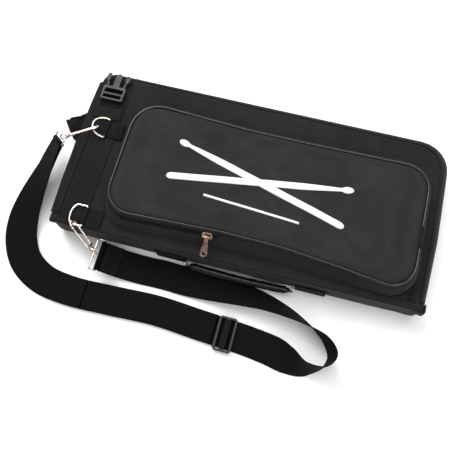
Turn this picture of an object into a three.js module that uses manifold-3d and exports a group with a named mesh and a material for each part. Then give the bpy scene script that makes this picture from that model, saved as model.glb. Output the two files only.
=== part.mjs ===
// Drum stick bag: a padded fabric case that opens like a book, with a front pocket,
// a carry handle, a side-release buckle, and a webbing shoulder strap clipped on by two snap hooks.
// Millimetres. +X runs from the mouth to the bottom end, +Y from the spine to the zip side, +Z up.
import * as THREE from 'three';
import { mergeVertices } from 'three/addons/utils/BufferGeometryUtils.js';
import Module from 'manifold-3d';

const wasm = await Module();
wasm.setup();

// ---- driving dimensions -------------------------------------------------------------------
const BACK_DEPTH = 31.5;          // height of the back half's side walls
const BAG_DEPTH = 50;             // both halves, without the front pocket
const WALL = 3.5;                 // fabric, foam and lining sewn together
const ZIP_GAP = 1.0;              // between the two closed coils of the main zip
const COIL = 1.5;                 // height of one coil
const COIL_WIDTH = 2.4;
const TAPE = 1.0;
const BACK_WALL_TOP = 22;         // the wall stops here on the zip sides and the tape begins
const FRONT_WALL_START = 42.8;
const SPINE_Y = -114;
const HINGE_Y = -113.5;           // seam between spine and front panel
const HINGE_Z = 53.9;
const POCKET_TOP = 74;
const POCKET_SKIN = 1.4;
const POCKET_ZIP = 0.76;          // height of the pocket zip on the pocket's side, as a share
const LID_X = -18;                // the pocket lid bends along this line
const PIPING_R = 1.9;
const WEBBING = 38;               // shoulder strap width
const WEBBING_THICK = 1.6;
const RING_WIRE = 1.5;            // radius of the D-ring wire
const HOOK_WIRE = 1.5;
const LOOP_WIRE = 1.25;

const BLACK = 0x1b1b1d;
const CHARCOAL = 0x34343a;
const NICKEL = 0xb9b4ae;
const VINYL = 0x0d0e10;

const V3 = (x, y, z) => new THREE.Vector3(x, y, z);
const mix = (a, b, t) => a + (b - a) * t;
const part = new THREE.Group();
part.name = 'drum_stick_bag';

function add(name, geometry, colour, roughness = 0.9, metalness = 0) {
  const material = new THREE.MeshStandardMaterial({ color: colour, roughness, metalness });
  const mesh = new THREE.Mesh(geometry, material);
  mesh.name = name;
  part.add(mesh);
}

// ---- solids -------------------------------------------------------------------------------
function welded(geometry) {
  const plain = geometry.clone();
  for (const key of Object.keys(plain.attributes)) {
    if (key !== 'position') plain.deleteAttribute(key);
  }
  return mergeVertices(plain, 1e-4);
}

function toSolid(geometry) {
  const g = welded(geometry);
  return new wasm.Manifold(new wasm.Mesh({
    numProp: 3,
    vertProperties: new Float32Array(g.attributes.position.array),
    triVerts: new Uint32Array(g.index.array),
  }));
}

function fromSolid(solid) {
  const m = solid.getMesh();
  const g = new THREE.BufferGeometry();
  g.setAttribute('position', new THREE.BufferAttribute(new Float32Array(m.vertProperties), 3));
  g.setIndex(new THREE.BufferAttribute(new Uint32Array(m.triVerts), 1));
  return g;
}

function join(...geometries) {
  let solid = toSolid(geometries[0]);
  for (const g of geometries.slice(1)) solid = solid.add(toSolid(g));
  return fromSolid(solid);
}

function cut(geometry, ...tools) {
  let solid = toSolid(geometry);
  for (const g of tools) solid = solid.subtract(toSolid(g));
  return fromSolid(solid);
}

function box(x0, x1, y0, y1, z0, z1) {
  const g = new THREE.BoxGeometry(x1 - x0, y1 - y0, z1 - z0);
  g.translate((x0 + x1) / 2, (y0 + y1) / 2, (z0 + z1) / 2);
  return g;
}

// Joins rings of equal length, bottom first, each counter-clockwise seen from above.
function loft(rings) {
  const n = rings[0].length;
  const positions = rings.flatMap((ring) => ring.flatMap((p) => [p.x, p.y, p.z]));
  const index = [];
  for (let k = 0; k < rings.length - 1; k += 1) {
    for (let i = 0; i < n; i += 1) {
      const a = k * n + i;
      const b = k * n + ((i + 1) % n);
      index.push(a, b, b + n, a, b + n, a + n);
    }
  }
  const flat = (ring) => ring.map((p) => new THREE.Vector2(p.x, p.y));
  const last = (rings.length - 1) * n;
  for (const [a, b, c] of THREE.ShapeUtils.triangulateShape(flat(rings[0]), [])) index.push(a, c, b);
  for (const [a, b, c] of THREE.ShapeUtils.triangulateShape(flat(rings.at(-1)), [])) {
    index.push(last + a, last + b, last + c);
  }
  return indexed(positions, index);
}

function indexed(positions, index) {
  const g = new THREE.BufferGeometry();
  g.setAttribute('position', new THREE.Float32BufferAttribute(positions, 3));
  g.setIndex(index);
  return outward(g);
}

// Turns every face over when the body came out inside out.
function outward(g) {
  const p = g.attributes.position;
  const index = g.index.array;
  let volume = 0;
  const a = V3();
  const b = V3();
  const c = V3();
  for (let i = 0; i < index.length; i += 3) {
    a.fromBufferAttribute(p, index[i]);
    b.fromBufferAttribute(p, index[i + 1]);
    c.fromBufferAttribute(p, index[i + 2]);
    volume += a.dot(b.cross(c));
  }
  if (volume < 0) {
    for (let i = 0; i < index.length; i += 3) {
      const keep = index[i];
      index[i] = index[i + 1];
      index[i + 1] = keep;
    }
  }
  return g;
}

// A sheet with two faces: outer[i][j] and inner[i][j] are matching points along and across it.
function sheet(outer, inner, closed = false) {
  const rows = outer.length;
  const cols = outer[0].length;
  const positions = [];
  for (const side of [outer, inner]) {
    for (const row of side) for (const p of row) positions.push(p.x, p.y, p.z);
  }
  const at = (side, i, j) => side * rows * cols + (i % rows) * cols + j;
  const index = [];
  const quad = (a, b, c, d) => index.push(a, b, c, a, c, d);
  const spans = closed ? rows : rows - 1;
  for (let i = 0; i < spans; i += 1) {
    for (let j = 0; j < cols - 1; j += 1) {
      quad(at(0, i, j), at(0, i + 1, j), at(0, i + 1, j + 1), at(0, i, j + 1));
      quad(at(1, i, j), at(1, i, j + 1), at(1, i + 1, j + 1), at(1, i + 1, j));
    }
    quad(at(0, i, 0), at(1, i, 0), at(1, i + 1, 0), at(0, i + 1, 0));
    quad(at(0, i, cols - 1), at(0, i + 1, cols - 1), at(1, i + 1, cols - 1), at(1, i, cols - 1));
  }
  if (!closed) {
    for (let j = 0; j < cols - 1; j += 1) {
      quad(at(0, 0, j), at(0, 0, j + 1), at(1, 0, j + 1), at(1, 0, j));
      const e = rows - 1;
      quad(at(0, e, j), at(1, e, j), at(1, e, j + 1), at(0, e, j + 1));
    }
  }
  return indexed(positions, index);
}

// A round bar along a list of points; a closed list makes a ring.
function rod(points, radius, closed = false, sides = 8) {
  const n = points.length;
  const rings = [];
  let side = null;
  for (let i = 0; i < n; i += 1) {
    const before = points[closed ? (i + n - 1) % n : Math.max(0, i - 1)];
    const after = points[closed ? (i + 1) % n : Math.min(n - 1, i + 1)];
    const along = after.clone().sub(before).normalize();
    if (!side) {
      side = Math.abs(along.z) < 0.9 ? V3(0, 0, 1) : V3(1, 0, 0);
    }
    side = side.clone().addScaledVector(along, -side.dot(along)).normalize();
    const other = along.clone().cross(side);
    const ring = [];
    for (let k = 0; k < sides; k += 1) {
      const t = (2 * Math.PI * (k + 0.5)) / sides;
      ring.push(points[i].clone().addScaledVector(side, radius * Math.cos(t))
        .addScaledVector(other, radius * Math.sin(t)));
    }
    rings.push(ring);
  }
  const positions = rings.flatMap((ring) => ring.flatMap((p) => [p.x, p.y, p.z]));
  const index = [];
  let turn = 0;
  if (closed) {
    let best = Infinity;
    for (let k = 0; k < sides; k += 1) {
      const gap = rings[n - 1][k].distanceTo(rings[0][0]);
      if (gap < best) {
        best = gap;
        turn = (sides - k) % sides;
      }
    }
  }
  for (let i = 0; i < (closed ? n : n - 1); i += 1) {
    const wrap = i === n - 1 ? turn : 0;
    for (let k = 0; k < sides; k += 1) {
      const a = i * sides + k;
      const b = i * sides + ((k + 1) % sides);
      const next = ((i + 1) % n) * sides;
      const c = next + ((k + 1 + wrap) % sides);
      const d = next + ((k + wrap) % sides);
      index.push(a, b, c, a, c, d);
    }
  }
  if (!closed) {
    for (let k = 1; k < sides - 1; k += 1) {
      index.push(0, k + 1, k);
      const e = (n - 1) * sides;
      index.push(e, e + k, e + k + 1);
    }
  }
  return indexed(positions, index);
}

// ---- outlines -----------------------------------------------------------------------------
// Corners are [x, y, radius]; every outline below uses the same corner steps, so rings match.
function outline(corners, steps = 6) {
  const points = [];
  const n = corners.length;
  for (let i = 0; i < n; i += 1) {
    const [x, y, r] = corners[i];
    const [px, py] = corners[(i + n - 1) % n];
    const [nx, ny] = corners[(i + 1) % n];
    if (r === 0) {
      points.push(new THREE.Vector2(x, y));
      continue;
    }
    const here = new THREE.Vector2(x, y);
    const back = new THREE.Vector2(px - x, py - y).normalize();
    const ahead = new THREE.Vector2(nx - x, ny - y).normalize();
    const half = Math.acos(THREE.MathUtils.clamp(back.dot(ahead), -1, 1)) / 2;
    const reach = r / Math.tan(half);
    const middle = back.clone().add(ahead).normalize();
    const centre = here.clone().addScaledVector(middle, r / Math.sin(half));
    const from = here.clone().addScaledVector(back, reach).sub(centre);
    const to = here.clone().addScaledVector(ahead, reach).sub(centre);
    const a0 = Math.atan2(from.y, from.x);
    let sweep = Math.atan2(to.y, to.x) - a0;
    if (sweep < 0) sweep += 2 * Math.PI;
    for (let k = 0; k <= steps; k += 1) {
      const a = a0 + (sweep * k) / steps;
      points.push(new THREE.Vector2(centre.x + r * Math.cos(a), centre.y + r * Math.sin(a)));
    }
  }
  return points;
}

// Moves an outline inward along its own normals.
function inset(points, distance) {
  const n = points.length;
  return points.map((p, i) => {
    const a = points[(i + n - 1) % n];
    const b = points[(i + 1) % n];
    const normal = new THREE.Vector2(b.y - a.y, a.x - b.x).normalize();
    return p.clone().addScaledVector(normal, -distance);
  });
}

const blendOutline = (a, b, t) => a.map((p, i) => p.clone().lerp(b[i], t));
const atHeight = (points, z) => points.map((p) => V3(p.x, p.y, z));

// Largest outline of the bag, at the zip, and the smaller flat panels the walls rise to.
const WIDEST = outline([
  [-240, -114, 9], [-40, -114, 0], [120, -114, 0], [241, -114, 8], [245, -20, 0],
  [243, 113, 38], [-40, 113, 0], [-240, 113, 12], [-244, 10, 0],
]);
const FRONT_PANEL = outline([
  [-239, -113, 8], [-40, -113, 0], [120, -113, 0], [230, -113, 8], [229, -20, 0],
  [227, 97, 32], [-40, 99, 0], [-239, 101, 10], [-243, 10, 0],
]);
const BACK_PANEL = outline([
  [-237, -106, 9], [-40, -106, 0], [120, -106, 0], [234, -106, 8], [236, -20, 0],
  [235, 105, 34], [-40, 105, 0], [-237, 105, 10], [-240, 10, 0],
]);

// Front half: straight beside the zip, then rolling in to the panel.
function frontOutline(z) {
  const t = THREE.MathUtils.clamp((z - 37.5) / (BAG_DEPTH - 37.5), 0, 1);
  return blendOutline(WIDEST, FRONT_PANEL, 1 - Math.sqrt(1 - t * t * 0.999));
}

function backOutline(z) {
  const t = THREE.MathUtils.clamp(1 - z / 13, 0, 1);
  return blendOutline(WIDEST, BACK_PANEL, 1 - Math.sqrt(1 - t * t * 0.999));
}

// The padded edge is pressed away where the lower hook crosses it.
const hookNotch = () => box(-213, -194.5, -130, -105.4, 42, 60);

// ---- back half ----------------------------------------------------------------------------
const backLevels = [0, 0.9, 3, 6.5, 13, BAG_DEPTH - 2.5, BAG_DEPTH - 0.6];
const backOuter = loft(backLevels.map((z) => atHeight(backOutline(z), z)));
const backCavity = loft([WALL, 6.5, 13, BAG_DEPTH + 5].map((z) => atHeight(inset(backOutline(z), WALL), z)));
const backShell = cut(
  backOuter,
  backCavity,
  box(-260, -232, -102, 101, WALL, 60),
  box(-260, 260, SPINE_Y + 4, 130, BACK_WALL_TOP, 60),
  hookNotch(),
);
add('back_shell', backShell, BLACK);

const LINING = 1.2;
function liningSheet(z, points) {
  return loft([atHeight(points, z), atHeight(points, z + LINING)]);
}
const backLiningOutline = inset(blendOutline(WIDEST, BACK_PANEL, 0.35), WALL + 2.5);
add('back_lining', cut(
  liningSheet(WALL + 0.3, backLiningOutline),
  box(-260, -234, -130, 130, 0, 40),
), CHARCOAL);

// Stick sleeves: one stitched sheet that stands up in four arches, open toward the mouth.
function sleeves(zFloor, up, y0, y1, count, rise, x0, x1) {
  const outer = [];
  const inner = [];
  const steps = 8;
  for (let i = 0; i <= count * steps; i += 1) {
    const y = mix(y0, y1, i / (count * steps));
    const phase = ((i % steps) / steps) * Math.PI;
    const h = rise * Math.sin(phase) ** 0.7;
    const z = zFloor + up * (h + 0.9);
    outer.push([V3(x0, y, z), V3(x1, y, z)]);
    inner.push([V3(x0, y, z - up * 0.9), V3(x1, y, z - up * 0.9)]);
  }
  return sheet(outer, inner);
}
const BACK_FLOOR = WALL + 0.3 + LINING + 0.3;
add('back_sleeves', sleeves(BACK_FLOOR, 1, -98, 50, 4, 10, -135, 222), BLACK);

// Main zip: tape and coil of each half, running from the mouth round the far corner to the spine.
function zipPath(points) {
  // Starts at the near end of the bottom side, ends at the far corner of the mouth.
  const start = points.findIndex((p) => p.x > 240 && p.y > -100);
  const end = points.findIndex((p, i) => i > start && p.x < -220 && p.y > 100);
  return points.slice(start, end + 1);
}
function pathAt(z, extra, shape) {
  const path = zipPath(inset(shape(z), extra));
  const first = path[0].clone();
  first.y = SPINE_Y + 6.5;
  first.x = mix(path[0].x, 241, 0.9) - extra * 0.05;
  return [first, ...path].map((p) => V3(p.x, p.y, z));
}
function wallStrip(levels, near, far, shape) {
  const outer = levels.map((z) => pathAt(z, near, shape));
  const inner = levels.map((z) => pathAt(z, far, shape));
  const rows = outer[0].length;
  const across = (grid) => Array.from({ length: rows }, (_, i) => grid.map((line) => line[i]));
  return sheet(across(outer), across(inner));
}
const SPLIT = (BACK_DEPTH + BACK_DEPTH + ZIP_GAP) / 2;
const TAPE_IN = 0.7 + (COIL_WIDTH - TAPE) / 2;
add('zip_tape_back', wallStrip(
  [BACK_WALL_TOP + 0.3, BACK_DEPTH - COIL - 0.1], TAPE_IN, TAPE_IN + TAPE, backOutline,
), BLACK);
add('zip_coil_back', wallStrip(
  [BACK_DEPTH - COIL, BACK_DEPTH], 0.7, 0.7 + COIL_WIDTH, backOutline,
), BLACK, 0.5);
add('zip_tape_front', wallStrip(
  [BACK_DEPTH + ZIP_GAP + COIL + 0.1, 37.5, 40, FRONT_WALL_START - 0.3],
  TAPE_IN, TAPE_IN + TAPE, frontOutline,
), BLACK);
add('zip_coil_front', wallStrip(
  [BACK_DEPTH + ZIP_GAP, BACK_DEPTH + ZIP_GAP + COIL], 0.7, 0.7 + COIL_WIDTH, frontOutline,
), BLACK, 0.5);

// Zip slider: two plates on a thin web, with a bail for the pull. Local: travel on +X, face on +Z.
function sliderBody(clear, webHalf) {
  const plate = (z0, z1) => {
    const shape = new THREE.Shape([
      [-6.5, -2.6], [-5, -4.6], [5, -4.6], [6.5, -2.6], [6.5, 2.6], [5, 4.6], [-5, 4.6], [-6.5, 2.6],
    ].map(([x, y]) => new THREE.Vector2(x, y)));
    const g = new THREE.ExtrudeGeometry(shape, { depth: z1 - z0, bevelEnabled: false });
    g.translate(0, 0, z0);
    return g;
  };
  const web = box(-6, 6, -webHalf, webHalf, -clear - 0.8, clear + 0.8);
  const bail = rod([
    V3(-4.5, 0, clear + 1.2), V3(-4.2, 0, clear + 3.6), V3(-2.4, 0, clear + 4.7), V3(2.4, 0, clear + 4.7),
    V3(4.2, 0, clear + 3.6), V3(4.5, 0, clear + 1.2),
  ], 0.8, false, 6);
  return { outer: plate(clear, clear + 1.5), inner: plate(-clear - 1.5, -clear), web, bail };
}

// Pull tab hanging from a bail along local X; the tab runs down local -Y.
function pullTab() {
  const shape = new THREE.Shape();
  shape.moveTo(-1.9, 1.8);
  shape.lineTo(1.9, 1.8);
  shape.lineTo(2.3, -2);
  shape.bezierCurveTo(2.6, -9, 4.4, -14, 4.4, -20);
  shape.absarc(0, -20, 4.4, 0, -Math.PI, true);
  shape.bezierCurveTo(-4.4, -14, -2.6, -9, -2.3, -2);
  shape.closePath();
  const eye = new THREE.Path();
  eye.absarc(0, -20.4, 2.2, 0, 2 * Math.PI, false);
  shape.holes.push(eye);
  const g = new THREE.ExtrudeGeometry(shape, { depth: 1.3, bevelEnabled: false, curveSegments: 8 });
  g.translate(0, 0, -0.65);
  return g;
}
// The tab's upper end is a sleeve round the bail: a short tube with the bail's bar inside it.
function pull() {
  const tube = rod([V3(-1.9, 0, 0), V3(1.9, 0, 0)], 1.9, false, 12);
  const hole = rod([V3(-5, 0, 0), V3(5, 0, 0)], 1.15, false, 12);
  const tab = pullTab();
  return cut(join(tab, tube), hole);
}

function place(geometry, origin, xAxis, zAxis) {
  const z = zAxis.clone().normalize();
  const x = xAxis.clone().addScaledVector(z, -xAxis.dot(z)).normalize();
  const y = z.clone().cross(x);
  const m = new THREE.Matrix4().makeBasis(x, y, z).setPosition(origin);
  return geometry.clone().applyMatrix4(m);
}

// Main slider on the zip side near the mouth: faces +Y, pull hangs down.
const MAIN_SLIDER_X = -200;
const COIL_MID_Y = 113 - 0.7 - COIL_WIDTH / 2;
{
  const s = sliderBody(COIL_WIDTH / 2 + 0.5, 0.25);
  const whole = join(s.outer, s.inner, s.web, s.bail);
  const at = V3(MAIN_SLIDER_X, COIL_MID_Y, SPLIT);
  add('main_slider', place(whole, at, V3(-1, 0, 0), V3(0, 1, 0)), NICKEL, 0.3, 1);
  const bailY = COIL_MID_Y + COIL_WIDTH / 2 + 0.5 + 4.7;
  add('main_pull', place(pull(), V3(MAIN_SLIDER_X, bailY, SPLIT), V3(-1, 0, 0), V3(0, 1, 0)), NICKEL, 0.3, 1);
}

// ---- front half ---------------------------------------------------------------------------
const frontLevels = [BACK_DEPTH + ZIP_GAP, 37.5, 40.5, 43.5, 46.3, 48.6, 49.7, BAG_DEPTH];
const frontOuter = loft(frontLevels.map((z) => atHeight(frontOutline(z), z)));
const frontCavity = loft([20, 37.5, 41.5, 44.5, BAG_DEPTH - WALL].map((z) => (
  atHeight(inset(frontOutline(z), WALL), z)
)));
const FRONT_NEAR = SPINE_Y + 4.3;
const frontShell = cut(
  frontOuter,
  frontCavity,
  box(-260, 260, -130, FRONT_NEAR, 0, 60),
  box(-260, -232, -120, 99, 0, BAG_DEPTH - WALL),
  box(-260, 260, -130, 130, 0, FRONT_WALL_START),
  hookNotch(),
);
add('front_shell', frontShell, BLACK);
add('front_lining', cut(
  liningSheet(BAG_DEPTH - WALL - 0.3 - LINING, inset(FRONT_PANEL, WALL + 4)),
  box(-260, -234, -130, 130, 0, 60),
  box(-260, 260, -130, FRONT_NEAR + 1.5, 0, 60),
), CHARCOAL);
const FRONT_CEILING = BAG_DEPTH - WALL - 0.6 - LINING;
add('front_sleeves', sleeves(FRONT_CEILING, -1, -94, 54, 3, 8, -120, 210), BLACK);

// Sewn band and edge binding at the mouth of the front panel.
const SURFACE = BAG_DEPTH + 0.3;
const bandFar = 96;
add('mouth_band', cut(box(-228.5, -194, FRONT_NEAR + 2, bandFar, SURFACE, SURFACE + 0.9), hookNotch()), BLACK);
add('mouth_binding', sheet(
  [-104, -60, 10, 60, 92].map((y) => {
    const bow = 3.6 * (1 - ((y - 8) / 118) ** 2);
    return [V3(-230, y, SURFACE + 1.3), V3(-238 - bow, y, SURFACE + 1.3), V3(-240.4 - bow, y, SURFACE - 0.3)];
  }),
  [-104, -60, 10, 60, 92].map((y) => {
    const bow = 3.6 * (1 - ((y - 8) / 118) ** 2);
    return [V3(-230, y, SURFACE), V3(-237.6 - bow, y, SURFACE), V3(-239.4 - bow, y, SURFACE - 0.1)];
  }),
), BLACK);

// ---- front pocket -------------------------------------------------------------------------
const POCKET_BASE = outline([
  [-176, -105, 36], [LID_X, -99, 0], [60, -100, 0], [130, -103, 0], [226, -108, 34],
  [225, 67, 36], [60, 64, 0], [LID_X, 64, 0], [-177, 72, 38],
], 8);
const POCKET_RIM = outline([
  [-173, -92, 34], [LID_X, -85, 0], [60, -86, 0], [130, -93, 0], [222, -104, 32],
  [221, 63, 34], [60, 60, 0], [LID_X, 60, 0], [-173, 68, 36],
], 8);
const BASE_Z = SURFACE;
const RIM_Z = POCKET_TOP - 2.2;
const pocketPoint = (i, s, depth = 0) => {
  const base = inset(POCKET_BASE, depth);
  const rim = inset(POCKET_RIM, depth);
  const p = base[i].clone().lerp(rim[i], s);
  return V3(p.x, p.y, mix(BASE_Z, RIM_Z, s));
};
// Indices of the pocket outline on the lid side of the bend, and on the other side.
const all = POCKET_BASE.map((_, i) => i);
const nearBend = all.find((i) => POCKET_BASE[i].x === LID_X && POCKET_BASE[i].y < 0);
const farBend = all.find((i) => POCKET_BASE[i].x === LID_X && POCKET_BASE[i].y > 0);
const fixedRun = all.slice(nearBend, farBend + 1);
const lidRun = [...all.slice(farBend), ...all.slice(0, nearBend + 1)];

function pocketWall(run, s0, s1, trim, skin = POCKET_SKIN, bulge = 0) {
  const levels = s1 - s0 > 0.5 ? [s0, (s0 + s1) / 2, s1] : [s0, s1];
  const line = (depth) => run.map((i, k) => levels.map((s) => {
    const p = pocketPoint(i, s, depth);
    if (k === 0 || k === run.length - 1) p.x += trim;
    return p;
  }));
  return sheet(line(-bulge), line(skin));
}
add('pocket_gusset', pocketWall(fixedRun, 0, 0.935, 0.4), BLACK);
add('pocket_gusset_lower', pocketWall(lidRun, 0, POCKET_ZIP - 0.125, 0), BLACK);
add('pocket_coil_lower', pocketWall(lidRun, POCKET_ZIP - 0.11, POCKET_ZIP - 0.042, 0, 1.9, 0.5), BLACK, 0.5);
add('lid_coil', pocketWall(lidRun, POCKET_ZIP + 0.042, POCKET_ZIP + 0.11, -0.4, 1.9, 0.5), BLACK, 0.5);
add('lid_gusset', pocketWall(lidRun, POCKET_ZIP + 0.125, 0.935, -0.4), BLACK);

function pocketFace(run, side) {
  const points = inset(POCKET_RIM, PIPING_R * 2 + 0.5);
  const used = run.map((i) => points[i].clone());
  used[0].x = LID_X + side * 0.3;
  used[used.length - 1].x = LID_X + side * 0.3;
  return loft([atHeight(used, POCKET_TOP - 2), atHeight(used, POCKET_TOP)]);
}
add('pocket_face', pocketFace(fixedRun, 1), CHARCOAL);
add('lid_face', pocketFace(lidRun, -1), CHARCOAL);

function piping(run, side) {
  const points = inset(POCKET_RIM, PIPING_R);
  const line = run.map((i) => V3(points[i].x, points[i].y, POCKET_TOP - PIPING_R + 0.6));
  line[0].x = LID_X + side * 0.3;
  line[line.length - 1].x = LID_X + side * 0.3;
  return rod(line, PIPING_R, false, 8);
}
add('pocket_piping', piping(fixedRun, 1), VINYL, 0.3);
add('lid_piping', piping(lidRun, -1), VINYL, 0.3);

// Pocket slider on the near side, just left of the bend; it travels along the near edge.
const SLIDER_X = -34;
{
  const near = lidRun.slice(-2);
  const at = (x, s, depth) => {
    const a = pocketPoint(near[0], s, depth);
    const b = pocketPoint(near[1], s, depth);
    return a.lerp(b, (x - a.x) / (b.x - a.x));
  };
  const mid = at(SLIDER_X, POCKET_ZIP, 0.7);
  const along = at(-120, POCKET_ZIP, 0.7).sub(mid).normalize();
  const up = at(SLIDER_X, 1, 0.7).sub(at(SLIDER_X, 0, 0.7));
  const face = along.clone().cross(up).normalize();
  if (face.z < 0) face.negate();
  const s = sliderBody(1.2 + 0.45, 0.22);
  const halfInner = cut(s.inner, box(-9, 9, -9, -0.22, -9, 9));
  const body = join(s.outer, halfInner, s.web, s.bail);
  add('pocket_slider', place(body, mid, along.clone().negate(), face), NICKEL, 0.3, 1);
  const bail = mid.clone().addScaledVector(face, 1.65 + 4.7);
  const lean = V3(0, -0.36, 0.93);
  add('pocket_pull', place(pull(), bail, along.clone().negate(), lean), NICKEL, 0.3, 1);
}

// ---- buckle -------------------------------------------------------------------------------
const BUCKLE_X = -215.5;
const PATCH_TOP = 57;
add('buckle_patch', box(-234.5, -196.5, 39, PATCH_TOP, SURFACE + 1.6, SURFACE + 2.8), BLACK);

function flat(points, z0, z1, holes = []) {
  const shape = new THREE.Shape(points.map(([x, y]) => new THREE.Vector2(x, y)));
  for (const h of holes) shape.holes.push(new THREE.Path(h.map(([x, y]) => new THREE.Vector2(x, y))));
  const g = new THREE.ExtrudeGeometry(shape, { depth: z1 - z0, bevelEnabled: false });
  g.translate(0, 0, z0);
  return g;
}
const rect = (x0, x1, y0, y1) => [[x0, y0], [x1, y0], [x1, y1], [x0, y1]];
const oval = (cx, cy, a, b, n = 14) => Array.from({ length: n }, (_, i) => {
  const t = (2 * Math.PI * i) / n;
  return [cx + a * Math.cos(t), cy + b * Math.sin(t)];
});

// Male half, local: width on X, prongs toward +Y, thickness on Z about zero.
const maleFrame = cut(
  flat([[-15.5, 0], [-14, -1.2], [14, -1.2], [15.5, 0], [16, 17], [14, 20], [-14, 20], [-16, 17]], -3.2, 3.2),
  box(-12.6, 12.6, 1.8, 6.6, -9, 9),
  box(-12.6, 12.6, 9.4, 15.6, -9, 9),
);
const maleTongue = flat([...rect(-4.6, 4.6, 19, 35).slice(0, 2), [4.6, 35], [3.4, 39], [0, 41], [-3.4, 39],
  [-4.6, 35]], -1.8, 1.8);
const maleArm = (side) => join(
  flat([[side * 9.6, 19], [side * 12.6, 19], [side * 14.2, 30], [side * 11.6, 30]], -1.9, 1.9),
  flat(oval(side * 13.4, 33.4, 3.1, 6.6), -2.6, 2.6),
);
const BUCKLE_Z = SURFACE + 5.6;
const MALE_Y = 66;
{
  const male = join(maleFrame, maleTongue, maleArm(1), maleArm(-1));
  male.translate(BUCKLE_X, MALE_Y, BUCKLE_Z);
  add('buckle_male', male, 0x141415, 0.55);
  // Webbing from the patch, over the end bar and round the middle bar.
  const half = 12.2;
  const line = [
    [PATCH_TOP + 0.3, SURFACE + 2.2], [63.2, SURFACE + 1.0], [66.8, SURFACE + 1.0], [68.6, SURFACE + 1.2],
  ];
  const over = line.map(([y, z]) => [V3(BUCKLE_X - half, y, z + 1.2), V3(BUCKLE_X + half, y, z + 1.2)]);
  const under = line.map(([y, z]) => [V3(BUCKLE_X - half, y, z), V3(BUCKLE_X + half, y, z)]);
  add('buckle_webbing', sheet(over, under), BLACK);
}

// Female half, tucked inside the mouth on the lining: a flat shell with side windows.
const FEMALE = { x: -232, y: 74, z: BACK_FLOOR + 6.6 };
{
  const body = flat([[-15.5, 6], [-13.5, 0], [13.5, 0], [15.5, 6], [16, 28], [14, 31], [-14, 31], [-16, 28]], -4.6, 4.6);
  const bore = flat(rect(-13.6, 13.6, 9, 40), -2.9, 2.9);
  const windows = flat([...rect(-20, 20, 11, 20)], -2.9, 2.9);
  const slot = flat(rect(-12.6, 12.6, 2.6, 5.6), -8, 8);
  const female = cut(body, bore, windows, slot);
  const m = new THREE.Matrix4().makeRotationZ(-Math.PI / 2);
  female.applyMatrix4(m).translate(FEMALE.x, FEMALE.y, FEMALE.z - 1.4);
  add('buckle_female', female, 0x141415, 0.55);
  const run = [[-239.2, BACK_FLOOR + 0.1], [-236, BACK_FLOOR + 0.6], [-232.6, FEMALE.z - 2]];
  const edgeRow = ([x, z], up) => [V3(x, FEMALE.y - 12.2, z + up), V3(x, FEMALE.y + 12.2, z + up)];
  add('buckle_female_webbing', sheet(run.map((r) => edgeRow(r, 1.3)), run.map((r) => edgeRow(r, 0))), BLACK);
}

// ---- D-rings ------------------------------------------------------------------------------
const RING_HALF = 13.5;
const RING_DEEP = 19;
function dRing(barX, yc, z, tiltDegrees, leg) {
  const tilt = THREE.MathUtils.degToRad(tiltDegrees);
  const flatPoints = [];
  for (let i = 0; i <= 4; i += 1) flatPoints.push([0, mix(-12.2, 12.2, i / 4)]);
  flatPoints.push([-0.5, 13.2], [-1.6, RING_HALF]);
  const steps = 14;
  for (let i = 0; i <= steps; i += 1) {
    const a = (Math.PI * i) / steps;
    flatPoints.push([-leg - (RING_DEEP - leg) * Math.sin(a), RING_HALF * Math.cos(a)]);
  }
  flatPoints.push([-1.6, -RING_HALF], [-0.5, -13.2]);
  const points = flatPoints.map(([x, y]) => (
    V3(barX + x * Math.cos(tilt), yc + y, z - x * Math.sin(tilt))
  ));
  return rod(points, RING_WIRE, true, 8);
}
// Sewn tab whose end wraps the ring's bar.
function ringTab(barX, yc, z, x1) {
  const y0 = yc - 11.6;
  const y1 = yc + 11.6;
  const plate = box(barX, x1, y0, y1, SURFACE + 1.2, SURFACE + 2.8);
  const wrap = rod([V3(barX, y0, z), V3(barX, y1, z)], 3.0, false, 16);
  const keep = cut(wrap, box(barX - 9, barX + 9, y0 - 1, y1 + 1, 0, SURFACE + 1.2));
  const bore = rod([V3(barX, y0 - 5, z), V3(barX, y1 + 5, z)], 1.9, false, 16);
  const under = box(barX - 5, barX + 5, y0 - 1, y1 + 1, SURFACE - 4, SURFACE + 1.2);
  return cut(join(plate, keep), bore, under);
}
const RING_Z = SURFACE + 3.6;
const UPPER = { barX: -208, y: 24.5 };
const LOWER = { barX: -194.5, y: HINGE_Y + RING_HALF };
const UPPER_TILT = 20;
add('dring_upper', dRing(UPPER.barX, UPPER.y, RING_Z, UPPER_TILT, 4), NICKEL, 0.25, 1);
add('dring_lower', dRing(LOWER.barX, LOWER.y, RING_Z, 0, 12), NICKEL, 0.25, 1);
add('dring_tab_upper', ringTab(UPPER.barX, UPPER.y, RING_Z, -185), BLACK);
add('dring_tab_lower', ringTab(LOWER.barX, LOWER.y, RING_Z, -172), BLACK);

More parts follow.
